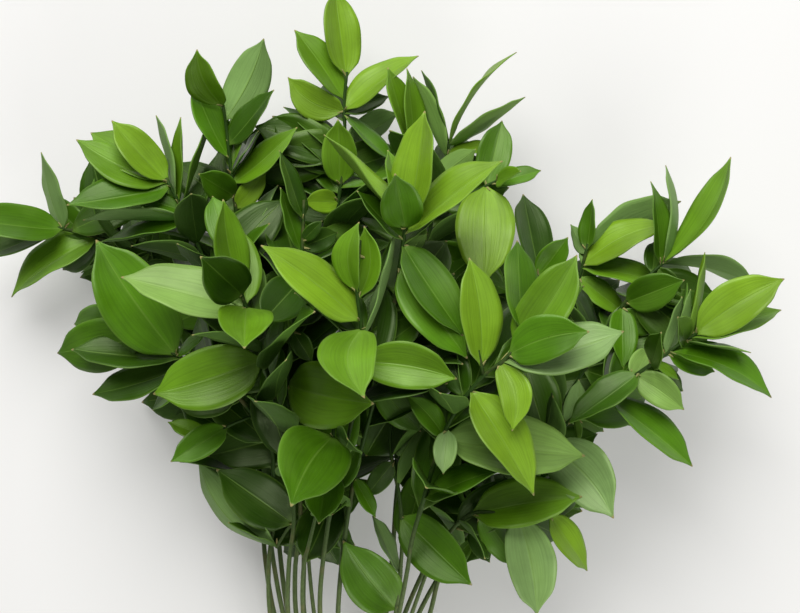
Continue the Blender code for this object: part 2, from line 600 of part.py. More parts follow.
def build():
    """The whole bunch. Returns every stem's blades and how far the bunch was moved to its middle."""
    for piece in list(bpy.data.objects):
        bpy.data.objects.remove(piece)
    collection = bpy.data.collections.new("ruscus_bunch")
    bpy.context.scene.collection.children.link(collection)
    bunch = Bunch()
    wood = {}
    twigs = {}
    lines = {}
    for stem in STEMS:
        line = stem_line(stem)
        lines[stem.name] = [line]
        wood[stem.name] = tube(stem.name, line, TIP_RADIUS, ROOT_RADIUS)
        twigs[stem.name] = []
        for i, route in enumerate(stem.twigs):
            twig_line = smooth_line([place(*spot) for spot in route], TUBE_STEP)
            twig_line[0] = nearest_wood(lines[stem.name][:1], route[0][0], route[0][1])
            lines[stem.name].append(twig_line)
            twigs[stem.name].append(tube(f"{stem.name}_twig_{i}", twig_line, TWIG_RADIUS, TIP_RADIUS))
    for stem in STEMS:
        for piece in [wood[stem.name]] + twigs[stem.name]:
            mesh = piece.data
            bunch.add([v.co for v in mesh.vertices], [tuple(p.vertices) for p in mesh.polygons], (stem.name, "wood"))
    blades = grow_leaves(lines, bunch)
    for stem in STEMS:
        collection.objects.link(wood[stem.name])
        fused(wood[stem.name], twigs[stem.name], blades[stem.name], collection)
        wood[stem.name].data.materials.append(leaf_material())
    return blades, centre(collection.objects)


BLADES, SHIFT = build()
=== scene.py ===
"""The looks of a cut bunch of broad-leaved ruscus that lies on a table, seen from above.

Metres, +Z up, in the model's own frame. Each leafy stem of the model gets a smooth stem and finer leaves in
the same places, with more leaves deep in the bunch.
"""

import functools
import math
import random
from collections import namedtuple

import bmesh
import bpy
from mathutils import Matrix, Vector
from mathutils.bvhtree import BVHTree


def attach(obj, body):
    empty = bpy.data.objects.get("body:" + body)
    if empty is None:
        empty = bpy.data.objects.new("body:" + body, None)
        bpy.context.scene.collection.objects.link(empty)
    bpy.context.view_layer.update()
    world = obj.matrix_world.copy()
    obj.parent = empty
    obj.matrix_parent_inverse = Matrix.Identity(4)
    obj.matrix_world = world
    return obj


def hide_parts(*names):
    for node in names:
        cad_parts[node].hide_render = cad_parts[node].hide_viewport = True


bl_info = {
    "name": "Ruscus bunch",
    "version": (1, 0, 0),
    "blender": (4, 5, 0),
    "location": "View3D > Sidebar > Ruscus",
    "description": "Grows the leaves and stems of a cut ruscus bunch around its plain model",
    "category": "Add Mesh",
}

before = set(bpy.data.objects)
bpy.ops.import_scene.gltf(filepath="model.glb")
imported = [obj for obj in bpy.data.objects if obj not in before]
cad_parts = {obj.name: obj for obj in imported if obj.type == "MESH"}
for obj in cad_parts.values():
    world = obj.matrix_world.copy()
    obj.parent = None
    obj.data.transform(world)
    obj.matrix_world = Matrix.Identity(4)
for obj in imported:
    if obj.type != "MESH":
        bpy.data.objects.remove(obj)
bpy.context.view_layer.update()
BODY = "root"

# The bunch is laid out as the eye sees it from above. A place is a pixel of the reference picture and a
# height over the table in millimetres. A pixel is PIXEL wide at the height FOCUS, and the eye is EYE over
# the table.
PIXEL = 0.00075
MIDDLE = (400, 306.5)
FOCUS = 0.110
EYE = 1.190
EYE_PLACE = Vector((0, 0, EYE))
MM = 0.001

# Stems
ROOT_RADIUS = 0.0026
TIP_RADIUS = 0.0011
TWIG_RADIUS = 0.0012
TUBE_STEP = 0.044
TUBE_SIDES = 6
FINE_STEP = 0.007
SWELL_REACH = 0.004
CUT_FACING = -0.6  # how far a face of the cut looks along the stems
WELD = 0.00001
STEM_GAP = 0.0002
SLOT = 2 * ROOT_RADIUS + STEM_GAP
ROW = SLOT * math.sqrt(0.75)
MIDDLE_COLUMN = 2.5
GRIP_X = 345
GRIP_START = 775
GRIP_END = 830
CUT_END = 925
FLARE = 1.6

# Leaves, as they are planned
THICKNESS = 0.0013
NECK_FACES = 4
SLIM = 0.46
BROAD = 0.54
STEEPEST = 66
BASE_CURVE = 0.62  # how the outline swells from the base and narrows to the tip
TIP_CURVE = 0.75
WIDEST = BASE_CURVE / (BASE_CURVE + TIP_CURVE)
ARCH = 0.05
CUP = 12
CLEAR = 0.0005
SHOWN_RINGS = (0.16, 0.44, 0.76)
NARROW = 19
NARROW_RINGS = (0.24, 0.68)
HIDDEN_RINGS = (0.22, 0.66)
END_SHARE = 0.05  # of a tube's stretch, to keep a leaf's base inside the wood

# Where a blade is tested against the eye, and the faults that count against a place for it
SAMPLE_SHARES = (0.3, 0.55, 0.8)
SAMPLE_INSET = 0.15
PROBE = 0.001
UNFIT = 1000
MEETS_LEAF = 30
MEETS_WOOD = 20
COVERS = 3
COVERS_HIDDEN = 7

# How far a leaf that shows may be changed to clear its neighbours: pixels, millimetres, degrees and shares
TRIES = 90
SCATTER = 1.5
MOVE = 9
SLIDE = 14
LIFT = 42
ROLL = 40
SHRINK = 0.15
CHANGE_COST = 6

# Leaves that the eye hardly sees fill the bunch behind the others, inside its outline.
SEED = 11
HIDDEN_STEP = 0.0125
HIDDEN_LENGTH = (0.055, 0.088)
HIDDEN_ANGLE = (42, 66)
HIDDEN_LEAN = 0.6
HIDDEN_TRIES = 16
HIDDEN_LIMIT = 12
GOLDEN_ANGLE = 137.5
# painted shade: leaves deep in the bunch take the darkest tones, which stand in for the shade there
DEEP_PAINTED_SHADE_TONES = (0, 0.5, 0.5, 1, 1, 2)
OUTLINE = (
    (55, 245), (85, 145), (150, 135), (192, 80), (255, 65), (275, 120), (300, 70), (342, 25), (360, 90),
    (395, 95), (440, 120), (498, 142), (520, 200), (560, 250), (612, 228), (668, 215), (690, 260), (755, 290),
    (722, 335), (745, 378), (690, 370), (680, 440), (632, 412), (595, 445), (610, 500), (560, 522),
    (548, 585), (505, 560), (460, 570), (405, 560), (394, 480), (362, 462), (350, 560), (275, 555),
    (215, 500), (180, 440), (100, 372), (78, 330), (105, 292), (55, 268),
)

# More deep leaves are tried at the pixels where the table shows between the others.
GAP_SEED = 5
GAP_ROWS = (70, 600, 6)
GAP_COLUMNS = (30, 770, 6)
GAP_EDGES = ((-5, 0), (5, 0), (0, -5), (0, 5))
GAP_NEAR = 8
GAP_WOOD_END = 620
GAP_CHOICE = 240
GAP_TRIES = 40
GAP_REACH = (1.15, 1.5)
GAP_RISE = (-30, 5)
GAP_LEAN_X = (-0.4, 0.4)
GAP_LEAN_Y = (-0.2, 0.6)
MOST_COVERED = 1

# The fine shape of a leaf and of the small scale at its foot
LEAF_GRID = {"shown": (10, 22), "hidden": (6, 12)}
TABLE_GAP = 0.0005
NECK_WIDTH = 0.0011
POINT_WIDTH = 0.00025
POINT_START = 0.78
POINT_CUT = 0.6
FOOT_END = 0.15
FOOT_CUT = 0.5
FOLD_CURVE = 1.2
FOLDS = (0.6, 2.0)
WAVES = (1.2, 2.4)
WAVE_OFFSET = 1.9
DROOPS = (0, 0.05)
BRACT_LENGTHS = (0.004, 0.0075)
BRACT_WIDTH = 0.0018
BRACT_CURVE = 0.7
BRACT_SIDE = 0.6
BRACT_ALONG = (0.5, 1.2)
BRACT_UP = (0.2, 0.9)
BRACT_GRID = (2, 4)
DRY_SPOT = (0.3, 0.995)

# The look of a leaf. Each stop of a ramp is a place and a shade.
TONES = 7
CLOUD_SCALE = 38
CLOUDS = ((0.3, 0.86), (0.7, 1.14))
# painted light and shade: one half of a blade is painted lighter than the other
HALVES = ((0.46, 0), (0.54, 1))
PAINTED_HALF_SHADES = ((0, 0.92), (1, 1.1))
HALF_TURNED = 0.45
# painted sheen: pale patches on the lighter half of a blade
PAINTED_SHEEN_SCALE = 15
PAINTED_SHEEN = ((0.5, 0), (0.72, 1))
VEIN_SCALE = (26, 1.6, 1)
VEINS = ((0.36, 0.89), (0.62, 1.08))
RIB = ((0.006, 1), (0.022, 0))
EDGE = ((0.468, 0), (0.494, 1))
FOOT = ((0, 1), (0.12, 0))
POINT = ((0.972, 0), (0.99, 1))
DRY_COLOUR = (0.34, 0.27, 0.11)
GLOSS_SCALE = 90
GLOSS_SPREAD = (0.07, 0.09)
CHANCE_SHARE = 0.22
# the share of the painted sheen comes next
PAINTED_SHEEN_SHARE = 0.3
EDGE_SHARE = 0.28
FOOT_SHARE = 0.45
Side = namedtuple("Side", "rib_share rib_height relief shine rougher paler")
UPPER = Side(0.35, -0.8, 0.35, 0.4, 0, 0)
UNDER = Side(0.7, 1.2, 0.6, 0.12, 0.2, 0.32)
SHINE_TINT = (0.85, 1.0, 0.6, 1)
RELIEF_DEPTH = 0.0006

# The look of the wood
WOOD_SHINE = 0.15
WOOD_ROUGHNESS = 0.5
CUT_ROUGHNESS = 0.45
BARK_RELIEF = 0.5
BARK_DEPTH = 0.0004
YOUNG_END = 0.0
OLD_START = -0.2
STREAK_SCALE = (900, 28, 900)
STREAKS = ((0.3, 0.72), (0.7, 1.22))
STAIN_SCALE = 55
STAINS = ((0.56, 0), (0.72, 0.5))
STAIN_COLOUR = (0.16, 0.13, 0.055)
PORE_SCALE = 1400
PITH_COLOUR = (0.62, 0.62, 0.42)

# Floor and light
FLOOR_HALF = 8
FLOOR_ROUGHNESS = 0.9
AIM = Vector((0, 0, 0.1))
KEY_SIZE = 2.5
KEY_PLACE = (-0.25, 2.1, 2.1)
FILL_SIZE = 1.2
FILL_PLACE = (0.7, -1.3, 0.9)

# The side of a blade that the eye sees
TOP = 1
BACK = -1

# A stem has its column and row in the grip, its line from the tip down to the bare part, and its side twigs.
# A leaf is (base x, base y, tip x, tip y, width as seen, rise of its tip in mm, bow, shade), with BACK at the
# end where its underside shows. The bow is how far its rib bends to the left on the way to the tip, and the
# shade runs from 0, nearly black, to 7, palest. The shade is partly the leaf's own colour and partly painted
# light: the darkest shades stand in for leaves in shade, and the palest partly for a painted sheen. Its base
# is moved onto the nearest wood. Stems, and a stem's leaves, are listed from the eye down.
Stem = namedtuple("Stem", "name column row line twigs leaves")
Leaf = namedtuple("Leaf", "x y tip_x tip_y width rise bow shade side", defaults=(TOP,))

STEMS = (
    Stem("stem_right_main", 4, 2,
         [(545, 300, 176), (510, 354, 178), (482, 377, 174), (455, 412, 164), (440, 445, 152),
          (425, 495, 132), (412, 540, 112), (399, 613, 80)],
         [[(482, 377, 174), (478, 350, 180)]],
         [(508, 356, 592, 334, 49, 25, 6, 3), (497, 360, 512, 431, 33, 12, 10, 5),
          (473, 392, 535, 495, 44, 10, 4, 5), (482, 365, 470, 258, 42, 5, -5, 5),
          (512, 352, 576, 252, 46, 8, -4, 4), (503, 364, 624, 331, 50, -5, -4, 7),
          (449, 441, 586, 454, 60, -8, 0, 6), (449, 440, 408, 396, 24, 8, -3, 2),
          (530, 330, 584, 286, 30, -15, 0, 3, BACK), (455, 430, 446, 474, 26, -5, 0, 7),
          (522, 335, 518, 240, 34, -20, 0, 2)]),
    Stem("stem_centre", 2, 2,
         [(360, 240, 190), (357, 290, 190), (362, 335, 184), (352, 420, 156), (332, 500, 126), (322, 570, 98),
          (320, 613, 82)],
         [],
         [(374, 328, 364, 394, 58, 45, -15, 4), (357, 321, 262, 244, 42, 15, -3, 5),
          (365, 338, 399, 228, 22, 15, -4, 7, BACK), (371, 362, 457, 379, 47, 5, 5, 4),
          (357, 295, 357, 222, 26, 10, 11, 4), (368, 297, 362, 226, 27, 0, -9, 4),
          (365, 250, 359, 299, 10, 10, 0, 3)]),
    Stem("stem_front_left", -0.5, 1,
         [(225, 240, 164), (243, 298, 164), (262, 355, 154), (283, 430, 134), (294, 520, 104),
          (288, 613, 76)],
         [],
         [(243, 308, 244, 345, 54, 55, 0, 4), (243, 296, 202, 258, 48, 30, 0, 1),
          (240, 290, 224, 200, 35, 5, 3, 4), (240, 312, 121, 277, 48, 5, -3, 6),
          (250, 310, 240, 222, 34, -8, 0, 4), (265, 358, 153, 394, 62, 0, 2, 4),
          (212, 258, 214, 196, 30, -5, 0, 3)]),
    Stem("stem_middle_low", 1, 2,
         [(334, 420, 158), (332, 445, 154), (326, 475, 142), (310, 540, 112), (303, 613, 84)],
         [],
         [(324, 436, 293, 503, 74, 35, -6, 2), (335, 470, 319, 523, 42, 10, 0, 3),
          (315, 562, 330, 492, 56, -25, -3, 0)]),
    Stem("stem_top_front", 3, 2,
         [(412, 205, 172), (405, 232, 172), (400, 262, 166), (390, 330, 150), (374, 400, 132),
          (354, 480, 106), (342, 560, 80), (338, 613, 66)],
         [],
         [(402, 228, 395, 174, 42, 40, 0, 3), (408, 232, 500, 158, 32, 15, 4, 5),
          (415, 225, 422, 110, 42, 5, 0, 5), (397, 268, 468, 358, 50, 10, 0, 3),
          (395, 228, 331, 132, 28, 5, 0, 5), (385, 215, 389, 151, 28, -5, 0, 4),
          (392, 238, 356, 190, 28, -5, 0, 1), (398, 256, 466, 340, 30, -12, 0, 2),
          (398, 262, 425, 232, 14, 5, 0, 6, BACK), (358, 478, 376, 517, 16, 8, 0, 3)]),
    Stem("stem_right_low", 4.5, 1,
         [(552, 514, 118), (510, 514, 118), (470, 514, 112), (440, 545, 92), (412, 613, 58)],
         [],
         [(468, 510, 583, 495, 50, 10, 3, 4), (447, 518, 532, 486, 45, 0, 2, 1),
          (518, 516, 537, 615, 49, -10, 5, 7), (470, 513, 510, 566, 36, -20, 2, 2),
          (550, 512, 590, 570, 27, -12, 0, 5)]),
    Stem("stem_right_branch", 6, 0,
         [(697, 333, 122), (672, 350, 122), (637, 374, 118), (600, 398, 112), (565, 425, 104), (520, 468, 90),
          (470, 528, 72), (442, 570, 60), (430, 613, 46)],
         [],
         [(697, 336, 784, 278, 46, 15, 4, 5), (672, 351, 773, 395, 28, 10, 11, 3),
          (610, 404, 693, 466, 30, 10, 4, 3), (692, 334, 706, 253, 21, 5, -2, 5),
          (636, 377, 684, 410, 32, 8, 2, 6), (556, 456, 612, 518, 62, 20, 9, 7),
          (700, 335, 781, 304, 20, 0, 0, 4), (700, 342, 748, 346, 12, 5, 0, 6, BACK),
          (665, 350, 680, 296, 14, 8, -3, 7, BACK), (683, 335, 690, 289, 10, 5, 0, 7, BACK),
          (690, 342, 683, 318, 16, 5, 0, 1), (668, 355, 714, 371, 24, -5, 0, 3),
          (655, 360, 679, 379, 10, 0, 0, 4), (640, 376, 566, 421, 32, 5, 0, 2),
          (564, 424, 581, 384, 24, 12, -4, 7, BACK), (578, 420, 580, 441, 8, 5, 0, 4, BACK),
          (628, 372, 650, 349, 24, -5, 0, 6), (640, 372, 656, 341, 14, 5, 0, 1)]),
    Stem("stem_left_low", -1, 0,
         [(130, 316, 112), (150, 345, 116), (178, 356, 118), (230, 388, 112), (268, 440, 96), (274, 520, 74),
          (270, 613, 52)],
         [[(251, 416, 103), (228, 426, 106), (210, 438, 108)]],
         [(178, 352, 97, 239, 70, 15, 4, 3), (224, 416, 172, 460, 30, 10, 0, 3),
          (228, 405, 174, 404, 34, -5, 0, 0), (205, 440, 168, 422, 18, 0, 0, 4),
          (175, 370, 71, 348, 35, -8, 0, 1), (140, 340, 56, 354, 55, -12, 0, 2),
          (185, 372, 92, 394, 34, -10, 2, 1), (130, 312, 70, 330, 35, -20, 0, 3),
          (190, 375, 152, 410, 14, -10, 0, 3), (172, 362, 206, 333, 8, 10, 0, 3)]),
    Stem("stem_inner_left", 1.5, 1,
         [(304, 200, 122), (302, 250, 124), (296, 310, 124), (287, 380, 118), (298, 450, 96), (300, 530, 74),
          (296, 613, 54)],
         [],
         [(284, 385, 375, 404, 66, 10, -3, 4), (300, 282, 262, 322, 50, 10, 0, 1),
          (290, 330, 312, 362, 20, 0, 0, 1), (302, 240, 322, 221, 14, 5, 0, 1),
          (303, 215, 283, 150, 20, 5, 0, 1), (300, 250, 283, 188, 20, 0, 0, 2),
          (303, 250, 338, 232, 24, -5, 0, 1)]),
    Stem("stem_middle_back", 3.5, 1,
         [(402, 385, 104), (390, 440, 96), (400, 500, 86), (402, 545, 74), (396, 613, 52)],
         [],
         [(408, 522, 469, 589, 54, 15, 0, 3), (398, 400, 366, 456, 54, -30, 0, 1),
          (402, 540, 424, 466, 28, 5, 0, 2), (392, 462, 366, 497, 22, 5, 0, 0),
          (397, 608, 343, 540, 52, 0, 3, 3), (400, 575, 375, 515, 14, 5, 0, 7)]),
    Stem("stem_left_bottom", 2.5, 1,
         [(306, 425, 78), (310, 480, 74), (308, 545, 62), (314, 613, 48)],
         [[(308, 520, 67), (292, 524, 72), (276, 548, 74)]],
         [(298, 432, 207, 456, 50, 5, 0, 0), (293, 522, 219, 468, 52, 5, 0, 0),
          (273, 558, 199, 459, 30, -5, 13, 7, BACK), (272, 560, 235, 515, 18, -12, 0, 1)]),
    Stem("stem_upper_left", 0.5, 1,
         [(166, 178, 104), (183, 212, 102), (205, 262, 96), (232, 330, 86), (250, 420, 72), (268, 520, 56),
          (283, 613, 42)],
         [],
         [(160, 188, 77, 137, 37, 5, 6, 4), (167, 182, 112, 120, 34, 10, 1, 5),
          (188, 208, 120, 189, 20, 10, 0, 2), (178, 219, 80, 214, 22, 0, -2, 7, BACK),
          (150, 175, 84, 124, 30, -5, 0, 4), (171, 199, 157, 118, 18, 5, 0, 7, BACK),
          (180, 200, 176, 120, 16, 5, 0, 4), (185, 200, 203, 115, 14, 5, 0, 4, BACK),
          (160, 183, 62, 199, 22, -5, 0, 2), (180, 212, 108, 191, 20, -5, 0, 4),
          (180, 226, 100, 241, 10, 5, 0, 3), (170, 218, 198, 208, 8, 10, 0, 4)]),
    Stem("stem_top_left", 1, 0,
         [(223, 105, 90), (226, 125, 88), (232, 178, 84), (240, 240, 76), (252, 310, 64), (262, 400, 48),
          (276, 500, 34), (288, 613, 26)],
         [],
         [(226, 160, 195, 83, 32, 10, 2, 3), (226, 170, 256, 96, 32, 8, 8, 4),
          (223, 118, 192, 52, 36, 0, 8, 4), (225, 121, 262, 38, 44, 0, -5, 7, BACK),
          (232, 150, 268, 90, 30, -8, 0, 1), (236, 182, 296, 126, 24, 8, -2, 4),
          (232, 176, 250, 133, 8, 10, 0, 7, BACK), (232, 210, 266, 172, 22, 5, 0, 5),
          (243, 240, 278, 185, 12, 0, 0, 7), (246, 195, 199, 174, 32, 5, 0, 2)]),
    Stem("stem_top_centre", 2, 0,
         [(347, 72, 72), (344, 105, 72), (345, 140, 72), (340, 190, 70), (328, 260, 62), (315, 350, 50),
          (306, 450, 38), (304, 560, 30), (304, 613, 25)],
         [],
         [(343, 100, 296, 29, 32, 10, -2, 4), (340, 112, 288, 77, 33, 8, 9, 5),
          (347, 80, 337, -12, 38, 0, 0, 5), (346, 110, 418, 55, 25, 5, 4, 5),
          (345, 116, 395, 162, 14, 0, 0, 3), (352, 142, 395, 110, 18, -5, 0, 7, BACK),
          (333, 185, 338, 119, 36, 5, 0, 4), (330, 190, 309, 145, 28, 0, 0, 2),
          (356, 202, 303, 200, 28, 10, 0, 5)]),
    Stem("stem_top_right", 3, 0,
         [(450, 140, 76), (441, 180, 76), (430, 230, 70), (418, 300, 60), (408, 400, 46), (396, 500, 32),
          (386, 613, 24)],
         [[(434, 212, 72), (465, 196, 78), (499, 180, 82)], [(438, 193, 75), (424, 166, 82), (412, 148, 86)]],
         [(485, 182, 484, 283, 59, 10, 0, 5), (437, 182, 475, 150, 26, 5, 0, 6, BACK),
          (425, 150, 410, 68, 20, 5, 0, 4), (408, 150, 388, 65, 20, 0, 0, 4),
          (447, 158, 415, 76, 16, 0, 0, 6, BACK), (445, 135, 417, 77, 12, -5, 0, 1),
          (450, 135, 521, 55, 20, 5, 10, 5), (463, 142, 526, 96, 9, 0, -3, 6, BACK),
          (480, 176, 503, 120, 35, -5, 0, 2), (447, 150, 496, 142, 10, 5, 0, 5),
          (500, 200, 541, 169, 18, -5, 0, 3), (497, 185, 517, 175, 6, 0, 0, 4)]),
    Stem("stem_right_upper", 5, 0,
         [(664, 262, 80), (640, 285, 82), (612, 320, 76), (584, 370, 66), (545, 430, 54), (500, 500, 40),
          (450, 560, 30), (419, 613, 25)],
         [],
         [(664, 264, 728, 155, 15, 5, -11, 4), (658, 265, 654, 181, 18, 0, -3, 2),
          (665, 262, 672, 162, 20, 0, -10, 7, BACK), (665, 264, 758, 287, 14, 5, 10, 7, BACK),
          (622, 300, 683, 280, 40, 0, 0, 2), (610, 318, 665, 326, 28, 0, 0, 2),
          (622, 300, 626, 364, 24, 0, 0, 3)]),
    Stem("stem_right_middle", 4, 0,
         [(588, 244, 62), (580, 275, 60), (567, 320, 54), (540, 390, 42), (495, 460, 32), (447, 530, 26),
          (405, 613, 22)],
         [[(569, 310, 55), (550, 288, 60), (536, 274, 64)]],
         [(585, 266, 668, 222, 31, 10, 8, 5), (588, 263, 668, 284, 19, 5, 5, 4),
          (580, 275, 627, 314, 24, 0, 0, 4), (572, 285, 620, 305, 24, -5, 0, 2),
          (545, 270, 568, 238, 28, 0, 0, 3), (582, 250, 591, 199, 16, 0, 0, 2),
          (588, 258, 572, 223, 14, 0, 0, 7, BACK), (588, 258, 611, 221, 16, -5, 0, 2),
          (590, 245, 680, 200, 40, -10, 0, 7, BACK), (550, 280, 524, 199, 18, 0, 0, 1),
          (545, 285, 534, 230, 18, -5, 0, 0), (545, 385, 625, 372, 38, 0, 0, 1),
          (550, 375, 520, 404, 24, -5, 0, 2)]),
    Stem("stem_far_left", 0, 0,
         [(52, 226, 52), (100, 238, 44), (150, 252, 36), (195, 296, 30), (228, 360, 26), (246, 440, 25),
          (262, 520, 23), (274, 613, 20)],
         [],
         [(52, 228, -25, 258, 24, 10, 0, 1), (54, 226, -38, 215, 20, 5, 0, 2),
          (62, 220, 45, 152, 13, 5, 3, 7, BACK), (97, 252, 49, 192, 28, 15, 6, 2),
          (93, 262, 9, 294, 31, 5, -7, 4)]),
)

# The bunch rests on the gathered stems and on three leaves that lie flat: each is a stem's name, then base x,
# base y, tip x and tip y.
RESTING = (
    ("stem_far_left", 195, 296, 128, 318),
    ("stem_right_middle", 540, 390, 598, 350),
    ("stem_top_centre", 300, 470, 352, 440),
)


def place(x, y, height):
    """The place in metres that the eye sees at a pixel, at a height in millimetres over the table."""
    z = height * MM
    scale = PIXEL * (EYE - z) / (EYE - FOCUS)
    return Vector(((x - MIDDLE[0]) * scale, (MIDDLE[1] - y) * scale, z))


def picture(point):
    """The pixel at which the eye sees a place."""
    scale = PIXEL * (EYE - point.z) / (EYE - FOCUS)
    return MIDDLE[0] + point.x / scale, MIDDLE[1] - point.y / scale


def smooth_line(points, step):
    """Places a step apart on the smooth curve through the points."""
    ends = [2 * points[0] - points[1]] + points + [2 * points[-1] - points[-2]]
    line = []
    for before, start, end, after in zip(ends, ends[1:], ends[2:], ends[3:]):
        count = max(1, round((end - start).length / step))
        for i in range(count):
            t = i / count
            line.append(0.5 * (2 * start + (end - before) * t
                               + (2 * before - 5 * start + 4 * end - after) * t * t
                               + (3 * start - before - 3 * end + after) * t ** 3))
    return line + [points[-1]]


def stem_line(stem):
    """A stem's middle line from its tip through the grip to its cut end."""
    shift = (stem.column - MIDDLE_COLUMN) * SLOT
    height = ROOT_RADIUS + stem.row * ROW
    grip = [place(GRIP_X, y, 0) for y in (GRIP_START, GRIP_END, CUT_END)]
    spreads = (1, 1, FLARE)
    gathered = [Vector((spot.x + shift * spread, spot.y, height)) for spot, spread in zip(grip, spreads)]
    return smooth_line([place(*spot) for spot in stem.line] + gathered, TUBE_STEP)


def stem_lines(stem):
    """The middle lines of a stem and of its twigs, which start on the stem."""
    main = stem_line(stem)
    lines = [main]
    for route in stem.twigs:
        twig = smooth_line([place(*spot) for spot in route], TUBE_STEP)
        twig[0] = nearest_wood([main], route[0][0], route[0][1])
        lines.append(twig)
    return lines


def wood_radii(number, count):
    """The radius at each place of a line: a stem thickens to its cut end, and a twig thins to its tip."""
    first, last = (TIP_RADIUS, ROOT_RADIUS) if number == 0 else (TWIG_RADIUS, TIP_RADIUS)
    return [first + (last - first) * i / (count - 1) for i in range(count)]


def round_wood(line, radii, sides):
    """A closed round tube along a line as a mesh, with its own radius at each place."""
    curve = bpy.data.curves.new("wood", "CURVE")
    curve.dimensions = "3D"
    curve.bevel_depth = 1
    curve.bevel_resolution = sides // 2 - 2
    curve.use_fill_caps = True
    spline = curve.splines.new("POLY")
    spline.points.add(len(line) - 1)
    for point, spot, radius in zip(spline.points, line, radii):
        point.co = (*spot, 1)
        point.radius = radius
    drawn = bpy.data.objects.new("wood", curve)
    bpy.context.scene.collection.objects.link(drawn)
    mesh = bpy.data.meshes.new_from_object(drawn.evaluated_get(bpy.context.evaluated_depsgraph_get()))
    bpy.data.objects.remove(drawn)
    return mesh


def plain_tube(line, radii):
    """The corners and triangles of the model's tube along a line."""
    mesh = round_wood(line, radii, TUBE_SIDES)
    form = bmesh.new()
    form.from_mesh(mesh)
    bpy.data.meshes.remove(mesh)
    bmesh.ops.remove_doubles(form, verts=form.verts, dist=WELD)
    bmesh.ops.triangulate(form, faces=form.faces)
    form.verts.index_update()
    corners = [corner.co.copy() for corner in form.verts]
    faces = [tuple(corner.index for corner in face.verts) for face in form.faces]
    form.free()
    return corners, faces


class Blade:
    """A leaf blade from its base to its tip: the way it points, faces and bends."""

    def __init__(self, base, tip, width, facing, bend, rings, resting=False):
        self.base = base
        self.tip = tip
        self.half = width / 2
        self.bend = bend
        self.along = (tip - base).normalized()
        self.up = (facing - self.along * facing.dot(self.along)).normalized()
        self.side = self.up.cross(self.along)
        self.rings = rings
        self.resting = resting

    def width_at(self, t):
        """Half the width at a share of the length: a pointed oval, broadest under its middle."""
        return self.half * (t / WIDEST) ** BASE_CURVE * ((1 - t) / (1 - WIDEST)) ** TIP_CURVE

    def section(self, t, grow):
        """The left edge, the rib's top, the right edge and the rib's underside at a share of the length."""
        middle = self.base.lerp(self.tip, t) + self.bend * (4 * t * (1 - t))
        half = self.width_at(t) + grow
        if self.resting:
            middle.z = 0
            flat = Vector((self.side.x, self.side.y, 0)).normalized() * half
            return [middle - flat, middle + Vector((0, 0, THICKNESS)), middle + flat, middle]
        lift = self.up * (half * math.sin(math.radians(CUP)) / 2)
        rib = self.up * (THICKNESS / 2 + grow)
        return [middle - self.side * half + lift, middle - lift + rib,
                middle + self.side * half + lift, middle - lift - rib]

    def shape(self, grow=0):
        """The corners and triangles, split alike on both sides. The first four triangles are the neck's."""
        corners = [self.base - self.along * grow]
        for t in self.rings:
            corners += self.section(t, grow)
        corners.append(self.tip + self.along * grow)
        faces = [(0, 1 + i, 1 + (i + 1) % 4) for i in range(4)]
        last = len(corners) - 5
        for start in range(1, last, 4):
            left, top, right, low = range(start, start + 4)
            for side, rib in ((left, top), (right, low)):
                faces += [(side, rib + 4, rib), (side, side + 4, rib + 4)]
            for side, rib in ((right, top), (left, low)):
                faces += [(side, rib, rib + 4), (side, rib + 4, side + 4)]
        tip = len(corners) - 1
        faces += [(last + i, tip, last + (i + 1) % 4) for i in range(4)]
        return corners, faces

    def samples(self):
        """Places on the blade at which it is tested against the eye."""
        spots = [self.tip]
        for t in SAMPLE_SHARES:
            spots += self.section(t, -SAMPLE_INSET * self.width_at(t))[:3]
        return spots


def facing_eye(base, tip, width, bow, side):
    """A blade's true width, the way that its upper side faces and its bend, from how the eye sees it."""
    length = (tip - base).length
    along = (tip - base) / length
    share = min(BROAD, max(SLIM, width / length))
    view = EYE_PLACE - base.lerp(tip, 0.5)
    toward = (view - along * view.dot(along)).normalized()
    angle = min(math.acos(min(1, width / (share * length))), math.radians(STEEPEST))
    across = along.cross(toward)
    # the upper side turns to the light, which comes from the tips' end
    light = 1 if across.y > 0 else -1
    facing = toward * math.cos(angle) + across * (math.sin(angle) * light * side)
    return share * length, facing * side, toward * (ARCH * length * side) - across * bow


def shown_blade(base, leaf, width_scale, changes):
    """The blade of a listed leaf, from a base on the wood, with small changes to clear its neighbours."""
    shift_x, shift_y, lift, roll = changes
    tip_x = leaf.tip_x + shift_x
    tip_y = leaf.tip_y + shift_y
    tip = place(tip_x, tip_y, base.z / MM + leaf.rise + lift)
    pixel = PIXEL * (EYE - base.z) / (EYE - FOCUS)
    width = leaf.width * width_scale * pixel
    length = (tip - base).length
    # a blade that looks broad for its length points at the eye, so its tip is higher still
    if width > BROAD * length:
        flat = (tip - base).to_2d().length
        climb = math.sqrt((width / BROAD) ** 2 - flat ** 2)
        tip = place(tip_x, tip_y, base.z / MM + math.copysign(climb / MM, leaf.rise) + lift)
    true_width, facing, bend = facing_eye(base, tip, width, leaf.bow * pixel, leaf.side)
    facing = Matrix.Rotation(math.radians(roll), 3, tip - base) @ facing
    rings = SHOWN_RINGS if leaf.width > NARROW else NARROW_RINGS
    return Blade(base, tip, true_width, facing, bend, rings)


def nearest_wood(lines, x, y):
    """The place on a stem's lines that the eye sees nearest to a pixel."""
    wanted = Vector((x, y))
    best = None
    for line in lines:
        for start, end in zip(line, line[1:]):
            seen = Vector(picture(start))
            run = Vector(picture(end)) - seen
            share = min(1 - END_SHARE, max(END_SHARE, (wanted - seen).dot(run) / run.length_squared))
            far = (seen + run * share - wanted).length
            if best is None or far < best[0]:
                best = (far, start.lerp(end, share))
    return best[1]


def inside_outline(x, y):
    """Whether a pixel lies inside the bunch's outline."""
    inside = False
    for (x1, y1), (x2, y2) in zip(OUTLINE, OUTLINE[1:] + OUTLINE[:1]):
        if (y1 > y) != (y2 > y) and x < x1 + (x2 - x1) * (y - y1) / (y2 - y1):
            inside = not inside
    return inside


